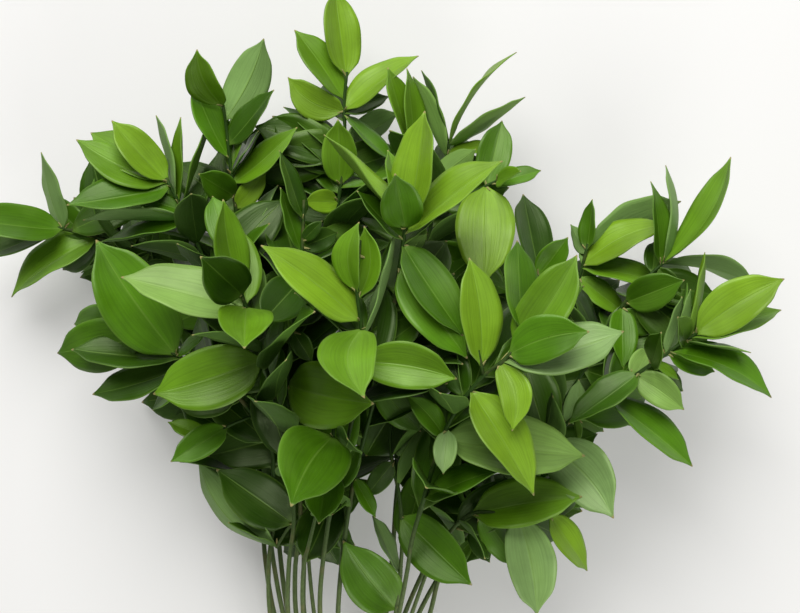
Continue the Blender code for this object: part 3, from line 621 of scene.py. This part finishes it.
class Bunch:
    """Everything that is placed so far, so that the next leaf can be bent clear of it."""

    def __init__(self):
        self.corners = []
        self.faces = []
        self.owners = []
        self.tree = None

    def add(self, corners, faces, owner):
        first = len(self.corners)
        self.corners += [Vector(corner) for corner in corners]
        self.faces += [tuple(first + i for i in face) for face in faces]
        self.owners += [owner] * len(faces)
        self.tree = BVHTree.FromPolygons(self.corners, self.faces)

    def meetings(self, corners, faces):
        """Each face of a blade that meets something, with the owner and the kind of what it meets."""
        for face, met in BVHTree.FromPolygons(corners, faces).overlap(self.tree):
            yield face, *self.owners[met]

    def covers_shown(self, spot):
        """Whether a place hides a leaf that shows from the eye."""
        away = (spot - EYE_PLACE).normalized()
        met = self.tree.ray_cast(spot + away * PROBE, away)[2]
        return met is not None and self.owners[met][1] == "shown"

    def sticks_out(self, spot):
        """1 where the eye sees a place outside the outline, -1 inside it, and 0 where it is covered."""
        away = (spot - EYE_PLACE).normalized()
        if self.tree.ray_cast(spot - away * PROBE, -away)[2] is not None:
            return 0
        return -1 if inside_outline(*picture(spot)) else 1

    def faults(self, blade, stem, hidden):
        """How badly a blade sits: UNFIT if it meets another stem's piece or the table, else less.

        A hidden blade sits well behind the others where it closes a gap between them, inside the outline.
        """
        corners, faces = blade.shape(CLEAR)
        if not blade.resting and min(corner.z for corner in corners) < CLEAR:
            return UNFIT
        fault = 0
        for face, owner, kind in self.meetings(corners, faces):
            if owner != stem:
                return UNFIT
            if kind != "wood":
                fault = max(fault, MEETS_LEAF)
            elif face >= NECK_FACES:
                fault = max(fault, MEETS_WOOD)
        for spot in blade.samples():
            if self.covers_shown(spot):
                fault += COVERS_HIDDEN if hidden else COVERS
            if hidden:
                out = self.sticks_out(spot)
                if out > 0:
                    return UNFIT
                fault += out
        return fault

    def has_gap_for(self, blade, stem):
        """Whether a deep blade leaves the wood and the leaves that show alone, inside the outline."""
        corners, faces = blade.shape(CLEAR)
        if min(corner.z for corner in corners) < CLEAR:
            return False
        for face, owner, kind in self.meetings(corners, faces):
            at_neck = owner == stem and face < NECK_FACES
            if kind == "shown" or kind == "wood" and not at_neck:
                return False
        spots = blade.samples()
        if any(self.sticks_out(spot) > 0 for spot in spots):
            return False
        return sum(self.covers_shown(spot) for spot in spots) <= MOST_COVERED


def best_blade(options, bunch, stem, limit, hidden=False):
    """The option with the least faults. A blade that shows takes the first with none."""
    best = None
    for blade, cost in options:
        fault = bunch.faults(blade, stem, hidden)
        if fault < limit and (best is None or fault + cost < best[0]):
            best = (fault + cost, blade)
            if fault == 0 and not hidden:
                break
    return best[1] if best else None


def shown_options(lines, leaf, draw):
    """A leaf as it is seen, and then with growing changes."""
    x = leaf.x + draw.uniform(-SCATTER, SCATTER)
    y = leaf.y + draw.uniform(-SCATTER, SCATTER)
    yield shown_blade(nearest_wood(lines, x, y), leaf, 1, (0, 0, 0, 0)), 0
    for i in range(1, TRIES):
        reach = i / TRIES
        changes = tuple(draw.uniform(-most, most) * reach for most in (MOVE, MOVE, LIFT, ROLL))
        slid_x = x + draw.uniform(-SLIDE, SLIDE) * reach
        slid_y = y + draw.uniform(-SLIDE, SLIDE) * reach
        width_scale = 1 - SHRINK * reach * draw.random()
        base = nearest_wood(lines, slid_x, slid_y)
        yield shown_blade(base, leaf, width_scale, changes), CHANGE_COST * reach


def hidden_options(base, along_stem, turn, draw):
    """A leaf that grows out of the stem at an angle, its upper side to the stem's tip."""
    start = along_stem.orthogonal().normalized()
    for i in range(HIDDEN_TRIES):
        spin = math.radians(turn + draw.uniform(-180, 180) * i / (HIDDEN_TRIES - 1))
        out = Matrix.Rotation(spin, 3, along_stem) @ start
        angle = math.radians(draw.uniform(*HIDDEN_ANGLE))
        length = draw.uniform(*HIDDEN_LENGTH)
        way = along_stem * math.cos(angle) + out * math.sin(angle)
        facing = along_stem + out.cross(along_stem) * draw.uniform(-HIDDEN_LEAN, HIDDEN_LEAN)
        bend = facing.normalized() * (ARCH * length)
        yield Blade(base, base + way * length, length * SLIM, facing, bend, HIDDEN_RINGS), 0


def resting_blade(base, tip_x, tip_y):
    """A leaf that lies flat on the table."""
    tip = place(tip_x, tip_y, 0)
    tip.z = THICKNESS / 3
    width = (tip - base).length * SLIM
    return Blade(base, tip, width, Vector((0, 0, 1)), Vector(), SHOWN_RINGS, resting=True)


def keep(bunch, blades, stem_name, blade, tone, deep):
    """Adds a blade to its stem's and to the bunch, with its shade, partly its own colour and partly painted
    light and shade.
    """
    blade.tone = tone
    blade.deep = deep
    blades[stem_name].append(blade)
    bunch.add(*blade.shape(), (stem_name, "hidden" if deep else "shown"))


def grow_leaves(lines, bunch):
    """Every stem's blades: those that lie flat, those that show, and those behind them."""
    draw = random.Random(SEED)
    shades = random.Random(SEED)
    blades = {stem.name: [] for stem in STEMS}
    for name, base_x, base_y, tip_x, tip_y in RESTING:
        blade = resting_blade(nearest_wood(lines[name][:1], base_x, base_y), tip_x, tip_y)
        keep(bunch, blades, name, blade, 1, False)
    for stem in STEMS:
        for leaf in [Leaf(*row) for row in stem.leaves]:
            blade = best_blade(shown_options(lines[stem.name], leaf, draw), bunch, stem.name, UNFIT)
            if blade:
                keep(bunch, blades, stem.name, blade, leaf.shade, False)
    for stem in STEMS:
        leafy = smooth_line([place(*spot) for spot in stem.line[:-1]], HIDDEN_STEP)
        turn = draw.uniform(0, 360)
        for i in range(1, len(leafy) - 2):
            turn += GOLDEN_ANGLE
            along = (leafy[i - 1] - leafy[i + 1]).normalized()
            base = nearest_wood(lines[stem.name][:1], *picture(leafy[i]))
            options = hidden_options(base, along, turn, draw)
            blade = best_blade(options, bunch, stem.name, HIDDEN_LIMIT, hidden=True)
            if blade:
                # painted shade: a deep leaf takes one of the darkest tones
                keep(bunch, blades, stem.name, blade, shades.choice(DEEP_PAINTED_SHADE_TONES), True)
    return blades


def gap_blade(seen, base, x, y, draw):
    """A leaf from the wood that reaches over a pixel, or None if it would be too long or too short."""
    over = draw.uniform(*GAP_REACH)
    height = base.z / MM + draw.uniform(*GAP_RISE)
    tip = place(seen[0] + (x - seen[0]) * over, seen[1] + (y - seen[1]) * over, height)
    length = (tip - base).length
    if not HIDDEN_LENGTH[0] / 2 < length < HIDDEN_LENGTH[1]:
        return None
    facing = Vector((draw.uniform(*GAP_LEAN_X), draw.uniform(*GAP_LEAN_Y), 1))
    width = length * draw.uniform(SLIM, BROAD)
    return Blade(base, tip, width, facing, facing * (ARCH * length), HIDDEN_RINGS)


def fill_gaps(lines, bunch, blades):
    """More leaves deep in the bunch, wherever the eye still sees the table between the others."""
    draw = random.Random(GAP_SEED)
    wood = [(picture(spot), spot, name) for name, routes in lines.items()
            for spot in smooth_line(routes[0], FINE_STEP) if picture(spot)[1] < GAP_WOOD_END]
    for y in range(*GAP_ROWS):
        for x in range(*GAP_COLUMNS):
            inside = all(inside_outline(x + i, y + j) for i, j in GAP_EDGES)
            down = (place(x, y, 0) - EYE_PLACE).normalized()
            if not inside or bunch.tree.ray_cast(EYE_PLACE, down)[2] is not None:
                continue
            near = sorted((math.dist(each[0], (x, y)), number) for number, each in enumerate(wood))
            near = [number for far, number in near if far > GAP_NEAR][:GAP_CHOICE]
            for number in draw.sample(near, GAP_TRIES):
                seen, base, name = wood[number]
                blade = gap_blade(seen, base, x, y, draw)
                if blade and bunch.has_gap_for(blade, name):
                    # painted shade: a deep leaf takes one of the darkest tones
                    keep(bunch, blades, name, blade, draw.choice(DEEP_PAINTED_SHADE_TONES), True)
                    break


@functools.lru_cache(maxsize=None)
def plan():
    """Every stem's lines and blades, and how far they are moved to the middle of the model's box."""
    bunch = Bunch()
    lines = {stem.name: stem_lines(stem) for stem in STEMS}
    for name, routes in lines.items():
        for number, line in enumerate(routes):
            bunch.add(*plain_tube(line, wood_radii(number, len(line))), (name, "wood"))
    blades = grow_leaves(lines, bunch)
    model_corners = list(bunch.corners)
    fill_gaps(lines, bunch, blades)
    low, high = ([end(corner[i] for corner in model_corners) for i in range(3)] for end in (min, max))
    shift = Vector((-(low[0] + high[0]) / 2, -(low[1] + high[1]) / 2, 0))
    return lines, blades, shift


def colour_setting(name, description, default):
    """A colour in the sidebar."""
    return bpy.props.FloatVectorProperty(
        name=name, description=description, subtype="COLOR", size=3, min=0, max=1, default=default)


def share_setting(name, description, default, most=1):
    """A share in the sidebar."""
    return bpy.props.FloatProperty(
        name=name, description=description, default=default, min=0, max=most, subtype="FACTOR")


def power_setting(name, description, default):
    """A lamp's power in the sidebar."""
    return bpy.props.FloatProperty(name=name, description=description, default=default, min=0, unit="POWER")


class LeafSettings(bpy.types.PropertyGroup):
    """The look of the leaves."""

    thickness: bpy.props.FloatProperty(
        name="Thickness", description="How thick a blade is", default=0.0007, min=0.0003, max=0.002,
        unit="LENGTH", subtype="DISTANCE")
    wave: share_setting("Wave", "How far a blade's edge waves, as a share of its length", 0.012, 0.05)
    twist: bpy.props.FloatProperty(
        name="Twist", description="How far a blade may turn about its rib between its ends",
        default=math.radians(14), min=0, max=1, unit="ROTATION", subtype="ANGLE")
    # painted shade: partly a dark leaf colour, partly the shade deep in the bunch
    deep_green: colour_setting("Deep green", "Leaves deep in the bunch", (0.018, 0.058, 0.001))
    green: colour_setting("Green", "Leaves of the middle shade", (0.064, 0.176, 0.004))
    fresh_green: colour_setting("Fresh green", "The yellowest leaves", (0.166, 0.304, 0.013))
    # painted sheen: besides the real pale undersides, this green is painted on leaves where light would catch
    # them
    pale_and_sheen_green: colour_setting(
        "Pale green", "Undersides and the leaves that catch the light", (0.200, 0.325, 0.105))
    roughness: share_setting("Roughness", "Roughness of the waxy upper side", 0.36)


class StemSettings(bpy.types.PropertyGroup):
    """The look of the stems."""

    sides: bpy.props.IntProperty(
        name="Sides", description="Sides of a stem's round section", default=12, min=6, max=24)
    node_swell: share_setting("Swelling", "How much thicker a stem is where a leaf grows", 0.22)
    young: colour_setting("Young wood", "The stem's leafy end", (0.022, 0.054, 0.008))
    old: colour_setting("Old wood", "The bare lower stem", (0.21, 0.27, 0.11))


class StageSettings(bpy.types.PropertyGroup):
    """The surface, the light and the view."""

    floor: colour_setting("Floor", "The pale surface", (0.62, 0.615, 0.60))
    floor_glow: share_setting(
        "Floor glow", "Light that the surface gives of its own, which softens the shadows on it", 0.32)
    key_power: power_setting("Key light", "Power of the large soft light beyond the tips", 108)
    fill_power: power_setting("Fill light", "Power of the low light on the stems' side", 14)
    sky: bpy.props.FloatProperty(
        name="Sky", description="Strength of the even light from all round", default=0.24, min=0)


def smooth_step(start, end, value):
    """0 before the start and 1 after the end, with a soft rise between."""
    share = min(1, max(0, (value - start) / (end - start)))
    return share * share * (3 - 2 * share)


def fine_width(blade, v):
    """Half the blade's width, with a drawn-out point and a narrow foot."""
    point = 1 - POINT_CUT * smooth_step(POINT_START, 1, v)
    foot = 1 - FOOT_CUT * (1 - smooth_step(0, FOOT_END, v))
    return max(blade.width_at(v) * (point * foot), NECK_WIDTH * (1 - v) + POINT_WIDTH * v)


def blade_point(blade, u, v, look, settings):
    """A place on the blade: u runs from -1 on its left edge to 1 on its right, v from its base to its tip."""
    phase, waves, twist, droop, cupping = look
    length = (blade.tip - blade.base).length
    middle = blade.base.lerp(blade.tip, v) + blade.bend * (4 * v * (1 - v))
    half = fine_width(blade, v)
    if blade.resting:
        flat = Vector((blade.side.x, blade.side.y, 0)).normalized()
        middle.z = TABLE_GAP + (THICKNESS - TABLE_GAP) * 0.5 * (1 - abs(u))
        return middle + flat * (half * u)
    turn = twist * (v - 0.5) * 2
    side = blade.side * math.cos(turn) + blade.up * math.sin(turn)
    up = blade.up * math.cos(turn) - blade.side * math.sin(turn)
    cup = half * math.sin(math.radians(CUP)) * cupping * (abs(u) ** FOLD_CURVE - 0.5)
    wave = math.sin(math.tau * waves * v + phase + (u > 0) * WAVE_OFFSET)
    ripple = settings.wave * length * u * u * math.sin(math.pi * v) * wave
    curl = -droop * length * v ** 4
    return middle + side * (half * u) + up * (cup + ripple + curl)


def add_leaf(form, blade, draw, settings, shift):
    """Adds one blade to a bmesh as a fine sheet, with its shade, partly painted light and shade, and its own
    chance number.
    """
    across, along = LEAF_GRID["hidden" if blade.deep else "shown"]
    tone_layer = form.verts.layers.float["tone"]
    chance_layer = form.verts.layers.float["chance"]
    look = (draw.uniform(0, math.tau), draw.uniform(*WAVES), draw.uniform(-1, 1) * settings.twist,
            draw.uniform(*DROOPS), draw.uniform(*FOLDS))
    chance = draw.random()
    made = bmesh.ops.create_grid(form, x_segments=across, y_segments=along, size=0.5, calc_uvs=True)
    for corner in made["verts"]:
        u = 2 * corner.co.x
        v = corner.co.y + 0.5
        corner.co = blade_point(blade, u, v, look, settings) + shift
        corner.co.z = max(corner.co.z, TABLE_GAP)
        corner[tone_layer] = blade.tone / TONES
        corner[chance_layer] = chance


def add_bract(form, blade, draw, shift):
    """Adds the small dry scale that stands beside a leaf's foot, as a narrow pointed sheet."""
    uv_layer = form.loops.layers.uv.verify()
    side = blade.side * draw.choice((-BRACT_SIDE, BRACT_SIDE))
    lean = blade.along * draw.uniform(*BRACT_ALONG) + side + blade.up * draw.uniform(*BRACT_UP)
    lean.normalize()
    across = lean.cross(blade.up).normalized()
    length = draw.uniform(*BRACT_LENGTHS)
    made = bmesh.ops.create_grid(form, x_segments=BRACT_GRID[0], y_segments=BRACT_GRID[1], size=0.5)
    for corner in made["verts"]:
        v = corner.co.y + 0.5
        half = BRACT_WIDTH * (1 - v) ** BRACT_CURVE + POINT_WIDTH
        corner.co = blade.base + lean * length * v + across * corner.co.x * half + shift
        corner.co.z = max(corner.co.z, TABLE_GAP)
        for loop in corner.link_loops:
            loop[uv_layer].uv = DRY_SPOT


def finish_piece(context, name, form, *materials):
    """Turns a bmesh into an object of the scene with its materials."""
    mesh = bpy.data.meshes.new(name)
    form.to_mesh(mesh)
    form.free()
    for material in materials:
        mesh.materials.append(material)
    piece = bpy.data.objects.new(name, mesh)
    context.scene.collection.objects.link(piece)
    return piece


def leaves_piece(context, stem_name, blades, shift):
    """One stem's leaves as one object: fine sheets that Solidify makes thick, paler underneath."""
    settings = context.scene.ruscus_leaves
    draw = random.Random(stem_name)
    form = bmesh.new()
    form.verts.layers.float.new("tone")
    form.verts.layers.float.new("chance")
    form.loops.layers.uv.verify()
    for blade in blades:
        add_leaf(form, blade, draw, settings, shift)
        if not blade.deep:
            add_bract(form, blade, draw, shift)
    for face in form.faces:
        face.smooth = True
    # the sheets look down, so the material of their second side is the upper one
    under = leaf_material("ruscus_leaf_under", UNDER)
    upper = leaf_material("ruscus_leaf_upper", UPPER)
    piece = finish_piece(context, stem_name + "_leaves", form, under, upper)
    wall = piece.modifiers.new("thickness", "SOLIDIFY")
    wall.thickness = settings.thickness
    wall.offset = 0
    wall.material_offset = 1
    wall.use_even_offset = False
    return piece


def wood_piece(context, stem_name, lines, blades, shift):
    """One stem with its twigs as smooth round wood, swollen where leaves grow, its cut end pale."""
    settings = context.scene.ruscus_stems
    bases = [blade.base for blade in blades]
    form = bmesh.new()
    for number, line in enumerate(lines):
        fine = smooth_line(line, FINE_STEP)
        nearness = [min((spot - base).length for base in bases) / SWELL_REACH for spot in fine]
        radii = [radius * (1 + settings.node_swell * math.exp(-near ** 2))
                 for radius, near in zip(wood_radii(number, len(fine)), nearness)]
        fine = [Vector((*spot.xy, max(spot.z, radius))) for spot, radius in zip(fine, radii)]
        mesh = round_wood(fine, radii, settings.sides)
        form.from_mesh(mesh)
        bpy.data.meshes.remove(mesh)
    bmesh.ops.remove_doubles(form, verts=form.verts, dist=WELD)
    form.normal_update()
    cut = min(face.calc_center_median().y for face in form.faces) + ROOT_RADIUS
    for face in form.faces:
        is_cut = face.normal.y < CUT_FACING and face.calc_center_median().y < cut
        face.material_index = 1 if is_cut else 0
        face.smooth = not is_cut
    bmesh.ops.translate(form, verts=form.verts, vec=shift)
    return finish_piece(context, stem_name + "_wood", form, wood_material(), cut_material())


class Nodes:
    """Short words for building one material's nodes."""

    def __init__(self, name):
        self.material = bpy.data.materials.new(name)
        self.material.use_nodes = True
        self.tree = self.material.node_tree
        self.shader = self.tree.nodes["Principled BSDF"]

    def add(self, kind, **values):
        node = self.tree.nodes.new(kind)
        for key, value in values.items():
            setattr(node, key, value)
        return node

    def join(self, start, end):
        self.tree.links.new(start, end)

    def fix(self, node, values):
        """Gives named inputs of a node their values."""
        for name, value in values.items():
            node.inputs[name].default_value = value

    def surface(self, kind):
        """The coordinates of the surface: Object or UV."""
        return self.add("ShaderNodeTexCoord").outputs[kind]

    def axes(self, vector):
        """The first two numbers of a place."""
        parts = self.add("ShaderNodeSeparateXYZ")
        self.join(vector, parts.inputs[0])
        return parts.outputs[0], parts.outputs[1]

    def scaled(self, vector, scale):
        """Coordinates with a scale of their own on each axis."""
        node = self.add("ShaderNodeMapping")
        self.fix(node, {"Scale": scale})
        self.join(vector, node.inputs["Vector"])
        return node.outputs[0]

    def ranged(self, value, **ends):
        """A number mapped from one range to another. The ends are From_Min, From_Max, To_Min and To_Max."""
        node = self.add("ShaderNodeMapRange")
        self.fix(node, {name.replace("_", " "): end for name, end in ends.items()})
        self.join(value, node.inputs["Value"])
        return node.outputs[0]

    def math(self, operation, first, second=None):
        """A Math node's result. Each input is a socket or a number."""
        node = self.add("ShaderNodeMath", operation=operation)
        for socket, value in zip(node.inputs, (first, second)):
            if hasattr(value, "is_linked"):
                self.join(value, socket)
            elif value is not None:
                socket.default_value = value
        return node.outputs[0]

    def ramp(self, factor, stops):
        """A colour ramp's colour. Each stop is a place and a colour or a grey."""
        node = self.add("ShaderNodeValToRGB")
        points = node.color_ramp.elements
        while len(points) < len(stops):
            points.new(0.5)
        for point, (spot, colour) in zip(points, stops):
            point.position = spot
            point.color = (*colour, 1) if hasattr(colour, "__len__") else (colour, colour, colour, 1)
        self.join(factor, node.inputs[0])
        return node.outputs[0]

    def mix(self, factor, first, second, blend="MIX"):
        """A colour between two. Each input is a socket, a number or a colour."""
        node = self.add("ShaderNodeMix", data_type="RGBA", blend_type=blend)
        for socket, value in zip((node.inputs[0], node.inputs[6], node.inputs[7]), (factor, first, second)):
            if hasattr(value, "is_linked"):
                self.join(value, socket)
            elif hasattr(value, "__len__"):
                socket.default_value = (*value, 1)
            else:
                socket.default_value = value
        return node.outputs[2]

    def tinge(self, colour, mask, share, other):
        """A colour moved a share of the way to another where the mask is 1."""
        return self.mix(self.math("MULTIPLY", mask, share), colour, other)

    def shade(self, colour, factor, stops):
        """A colour made darker and lighter by a ramp."""
        return self.mix(1.0, colour, self.ramp(factor, stops), "MULTIPLY")

    def noise(self, vector, scale, detail, rough=0.5):
        node = self.add("ShaderNodeTexNoise")
        self.fix(node, {"Scale": scale, "Detail": detail, "Roughness": rough})
        self.join(vector, node.inputs["Vector"])
        return node.outputs["Fac"]

    def attribute(self, name):
        return self.add("ShaderNodeAttribute", attribute_name=name).outputs["Fac"]

    def relief(self, height, strength, distance):
        """Fine relief on the surface."""
        node = self.add("ShaderNodeBump")
        self.fix(node, {"Strength": strength, "Distance": distance})
        self.join(height, node.inputs["Height"])
        self.join(node.outputs[0], self.shader.inputs["Normal"])


def between(first, second, share):
    """The colour a share of the way from one to another."""
    return tuple(a + (b - a) * share for a, b in zip(first, second))


@functools.lru_cache(maxsize=None)
def leaf_material(name, look):
    """A waxy blade with long fine veins that run beside its rib. The underside is paler and duller."""
    settings = bpy.context.scene.ruscus_leaves
    nodes = Nodes(name)
    deep, green, fresh, pale = settings.deep_green, settings.green, settings.fresh_green, settings.pale_and_sheen_green
    light_green = between(fresh, pale, 0.35)
    place_on = nodes.surface("Object")
    uv = nodes.surface("UV")
    u, v = nodes.axes(uv)
    from_rib = nodes.math("ABSOLUTE", nodes.math("SUBTRACT", u, 0.5))
    chance = nodes.attribute("chance")

    # the shade of the whole leaf, from nearly black green to the pale sheen, partly the leaf's own colour and
    # partly painted shade and painted sheen
    shades = (between(deep, (0, 0, 0), 0.25), deep, between(deep, green, 0.6), green,
              between(green, fresh, 0.4), fresh, between(fresh, pale, 0.6), pale)
    colour = nodes.ramp(nodes.attribute("tone"), [(i / TONES, shade) for i, shade in enumerate(shades)])
    colour = nodes.tinge(colour, chance, CHANCE_SHARE, between(green, fresh, 0.25))
    colour = nodes.shade(colour, nodes.noise(place_on, CLOUD_SCALE, 3), CLOUDS)

    # painted light and shade: one half of a folded blade is painted lighter than the other, and a pale
    # painted sheen lies on the lighter half
    turned = nodes.math("GREATER_THAN", chance, HALF_TURNED)
    painted_lit_half = nodes.math("ABSOLUTE", nodes.math("SUBTRACT", nodes.ramp(u, HALVES), turned))
    colour = nodes.shade(colour, painted_lit_half, PAINTED_HALF_SHADES)
    sheen = nodes.ramp(nodes.noise(place_on, PAINTED_SHEEN_SCALE, 2), PAINTED_SHEEN)
    colour = nodes.tinge(colour, nodes.math("MULTIPLY", sheen, painted_lit_half), PAINTED_SHEEN_SHARE, light_green)

    # long veins, the rib, the thin pale edge, the light foot and the dry point
    veins = nodes.noise(nodes.scaled(uv, VEIN_SCALE), 1.0, 2, 0.6)
    colour = nodes.shade(colour, veins, VEINS)
    rib = nodes.ramp(from_rib, RIB)
    marks = ((rib, look.rib_share), (nodes.ramp(from_rib, EDGE), EDGE_SHARE),
             (nodes.ramp(v, FOOT), FOOT_SHARE))
    for mask, share in marks:
        colour = nodes.tinge(colour, mask, share, light_green)
    colour = nodes.mix(nodes.ramp(v, POINT), colour, DRY_COLOUR)
    if look.paler:
        colour = nodes.mix(look.paler, colour, between(green, pale, 0.65))
    nodes.join(colour, nodes.shader.inputs["Base Color"])

    nodes.fix(nodes.shader, {"Specular IOR Level": look.shine, "Specular Tint": SHINE_TINT})
    base = settings.roughness + look.rougher
    gloss = nodes.noise(place_on, GLOSS_SCALE, 2)
    gloss = nodes.ranged(gloss, To_Min=base - GLOSS_SPREAD[0], To_Max=base + GLOSS_SPREAD[1])
    nodes.join(gloss, nodes.shader.inputs["Roughness"])
    height = nodes.math("ADD", veins, nodes.math("MULTIPLY", rib, look.rib_height))
    nodes.relief(height, look.relief, RELIEF_DEPTH)
    return nodes.material


@functools.lru_cache(maxsize=None)
def wood_material():
    """Green wood with fine lengthwise streaks, greener among the leaves and paler towards the cut."""
    settings = bpy.context.scene.ruscus_stems
    nodes = Nodes("ruscus_wood")
    place_on = nodes.surface("Object")
    along = nodes.ranged(nodes.axes(place_on)[1], From_Min=YOUNG_END, From_Max=OLD_START)
    colour = nodes.mix(along, settings.young, settings.old)
    streaks = nodes.noise(nodes.scaled(place_on, STREAK_SCALE), 1.0, 3, 0.6)
    colour = nodes.shade(colour, streaks, STREAKS)
    colour = nodes.mix(nodes.ramp(nodes.noise(place_on, STAIN_SCALE, 3), STAINS), colour, STAIN_COLOUR)
    nodes.join(colour, nodes.shader.inputs["Base Color"])
    nodes.fix(nodes.shader, {"Specular IOR Level": WOOD_SHINE, "Specular Tint": SHINE_TINT,
                             "Roughness": WOOD_ROUGHNESS})
    nodes.relief(streaks, BARK_RELIEF, BARK_DEPTH)
    return nodes.material


@functools.lru_cache(maxsize=None)
def cut_material():
    """The pale moist face of a cut end, with small pores."""
    settings = bpy.context.scene.ruscus_stems
    nodes = Nodes("ruscus_cut_end")
    pores = nodes.noise(nodes.surface("Object"), PORE_SCALE, 2)
    light = between(settings.old, PITH_COLOUR, 0.8)
    colour = nodes.ramp(pores, [(0.35, between(settings.old, light, 0.4)), (0.6, light)])
    nodes.join(colour, nodes.shader.inputs["Base Color"])
    nodes.fix(nodes.shader, {"Roughness": CUT_ROUGHNESS})
    return nodes.material


def floor_material(settings):
    """Plain pale paper."""
    nodes = Nodes("pale_floor")
    colour = (*settings.floor, 1)
    nodes.fix(nodes.shader, {"Base Color": colour, "Emission Color": colour,
                             "Emission Strength": settings.floor_glow, "Roughness": FLOOR_ROUGHNESS})
    return nodes.material


def dress(piece, stem_name):
    """Hangs a piece on the body that it rides on and hides the model's plain part in its place."""
    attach(piece, BODY)
    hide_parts(stem_name)


def add_floor(context, settings):
    """A wide flat sheet under the bunch."""
    form = bmesh.new()
    bmesh.ops.create_grid(form, x_segments=1, y_segments=1, size=FLOOR_HALF)
    finish_piece(context, "floor", form, floor_material(settings))


def add_lamp(context, name, power, size, spot):
    """A round soft light that shines on the bunch."""
    lamp = bpy.data.lights.new(name, "AREA")
    lamp.energy = power
    lamp.shape = "DISK"
    lamp.size = size
    light = bpy.data.objects.new(name, lamp)
    light.location = spot
    light.rotation_euler = (AIM - Vector(spot)).to_track_quat("-Z", "Y").to_euler()
    context.scene.collection.objects.link(light)


def add_light(context, settings):
    """A large soft light beyond the leafy tips, a weaker one on the stems' side and an even pale sky."""
    add_lamp(context, "key", settings.key_power, KEY_SIZE, KEY_PLACE)
    add_lamp(context, "fill", settings.fill_power, FILL_SIZE, FILL_PLACE)
    world = bpy.data.worlds.new("sky")
    world.use_nodes = True
    sky = world.node_tree.nodes["Background"]
    sky.inputs["Color"].default_value = (1, 1, 1, 1)
    sky.inputs["Strength"].default_value = settings.sky
    context.scene.world = world


def add_camera(context, shift):
    """The eye over the bunch, looking straight down."""
    lens = bpy.data.cameras.new("camera")
    lens.sensor_fit = "VERTICAL"
    lens.angle_y = 2 * math.atan(MIDDLE[1] * PIXEL / (EYE - FOCUS))
    camera = bpy.data.objects.new("camera", lens)
    camera.location = (shift.x, shift.y, EYE)
    context.scene.collection.objects.link(camera)
    context.scene.camera = camera


class RUSCUS_OT_leaves(bpy.types.Operator):
    """Grow every stem's leaves"""

    bl_idname = "ruscus.leaves"
    bl_label = "Leaves"

    def execute(self, context):
        lines, blades, shift = plan()
        for stem in STEMS:
            dress(leaves_piece(context, stem.name, blades[stem.name], shift), stem.name)
        return {"FINISHED"}


class RUSCUS_OT_stems(bpy.types.Operator):
    """Make every stem's wood from its tip to its cut end"""

    bl_idname = "ruscus.stems"
    bl_label = "Stems"

    def execute(self, context):
        lines, blades, shift = plan()
        for stem in STEMS:
            dress(wood_piece(context, stem.name, lines[stem.name], blades[stem.name], shift), stem.name)
        return {"FINISHED"}


class RUSCUS_OT_stage(bpy.types.Operator):
    """Lay the pale floor, hang the soft light and set the camera over the bunch"""

    bl_idname = "ruscus.stage"
    bl_label = "Floor, light and camera"

    def execute(self, context):
        settings = context.scene.ruscus_stage
        add_floor(context, settings)
        add_light(context, settings)
        add_camera(context, plan()[2])
        context.scene.view_settings.view_transform = "Standard"
        return {"FINISHED"}


class RUSCUS_PT_panel(bpy.types.Panel):
    """The bunch's sizes and colours"""

    bl_idname = "RUSCUS_PT_panel"
    bl_label = "Ruscus bunch"
    bl_space_type = "VIEW_3D"
    bl_region_type = "UI"
    bl_category = "Ruscus"

    def draw(self, context):
        for group, settings_class, operator in PANEL_ROWS:
            box = self.layout.box()
            box.operator(operator)
            for name in settings_class.__annotations__:
                box.prop(getattr(context.scene, group), name)


PANEL_ROWS = (
    ("ruscus_leaves", LeafSettings, "ruscus.leaves"),
    ("ruscus_stems", StemSettings, "ruscus.stems"),
    ("ruscus_stage", StageSettings, "ruscus.stage"),
)
CLASSES = (LeafSettings, StemSettings, StageSettings, RUSCUS_OT_leaves, RUSCUS_OT_stems, RUSCUS_OT_stage,
           RUSCUS_PT_panel)


def register():
    for item in CLASSES:
        bpy.utils.register_class(item)
    for group, settings_class, _operator in PANEL_ROWS:
        setattr(bpy.types.Scene, group, bpy.props.PointerProperty(type=settings_class))


def unregister():
    for group, _settings_class, _operator in PANEL_ROWS:
        delattr(bpy.types.Scene, group)
    for item in reversed(CLASSES):
        bpy.utils.unregister_class(item)


def main():
    register()
    bpy.ops.ruscus.leaves()
    bpy.ops.ruscus.stems()
    bpy.ops.ruscus.stage()
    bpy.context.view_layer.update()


if __name__ == "__main__":
    main()
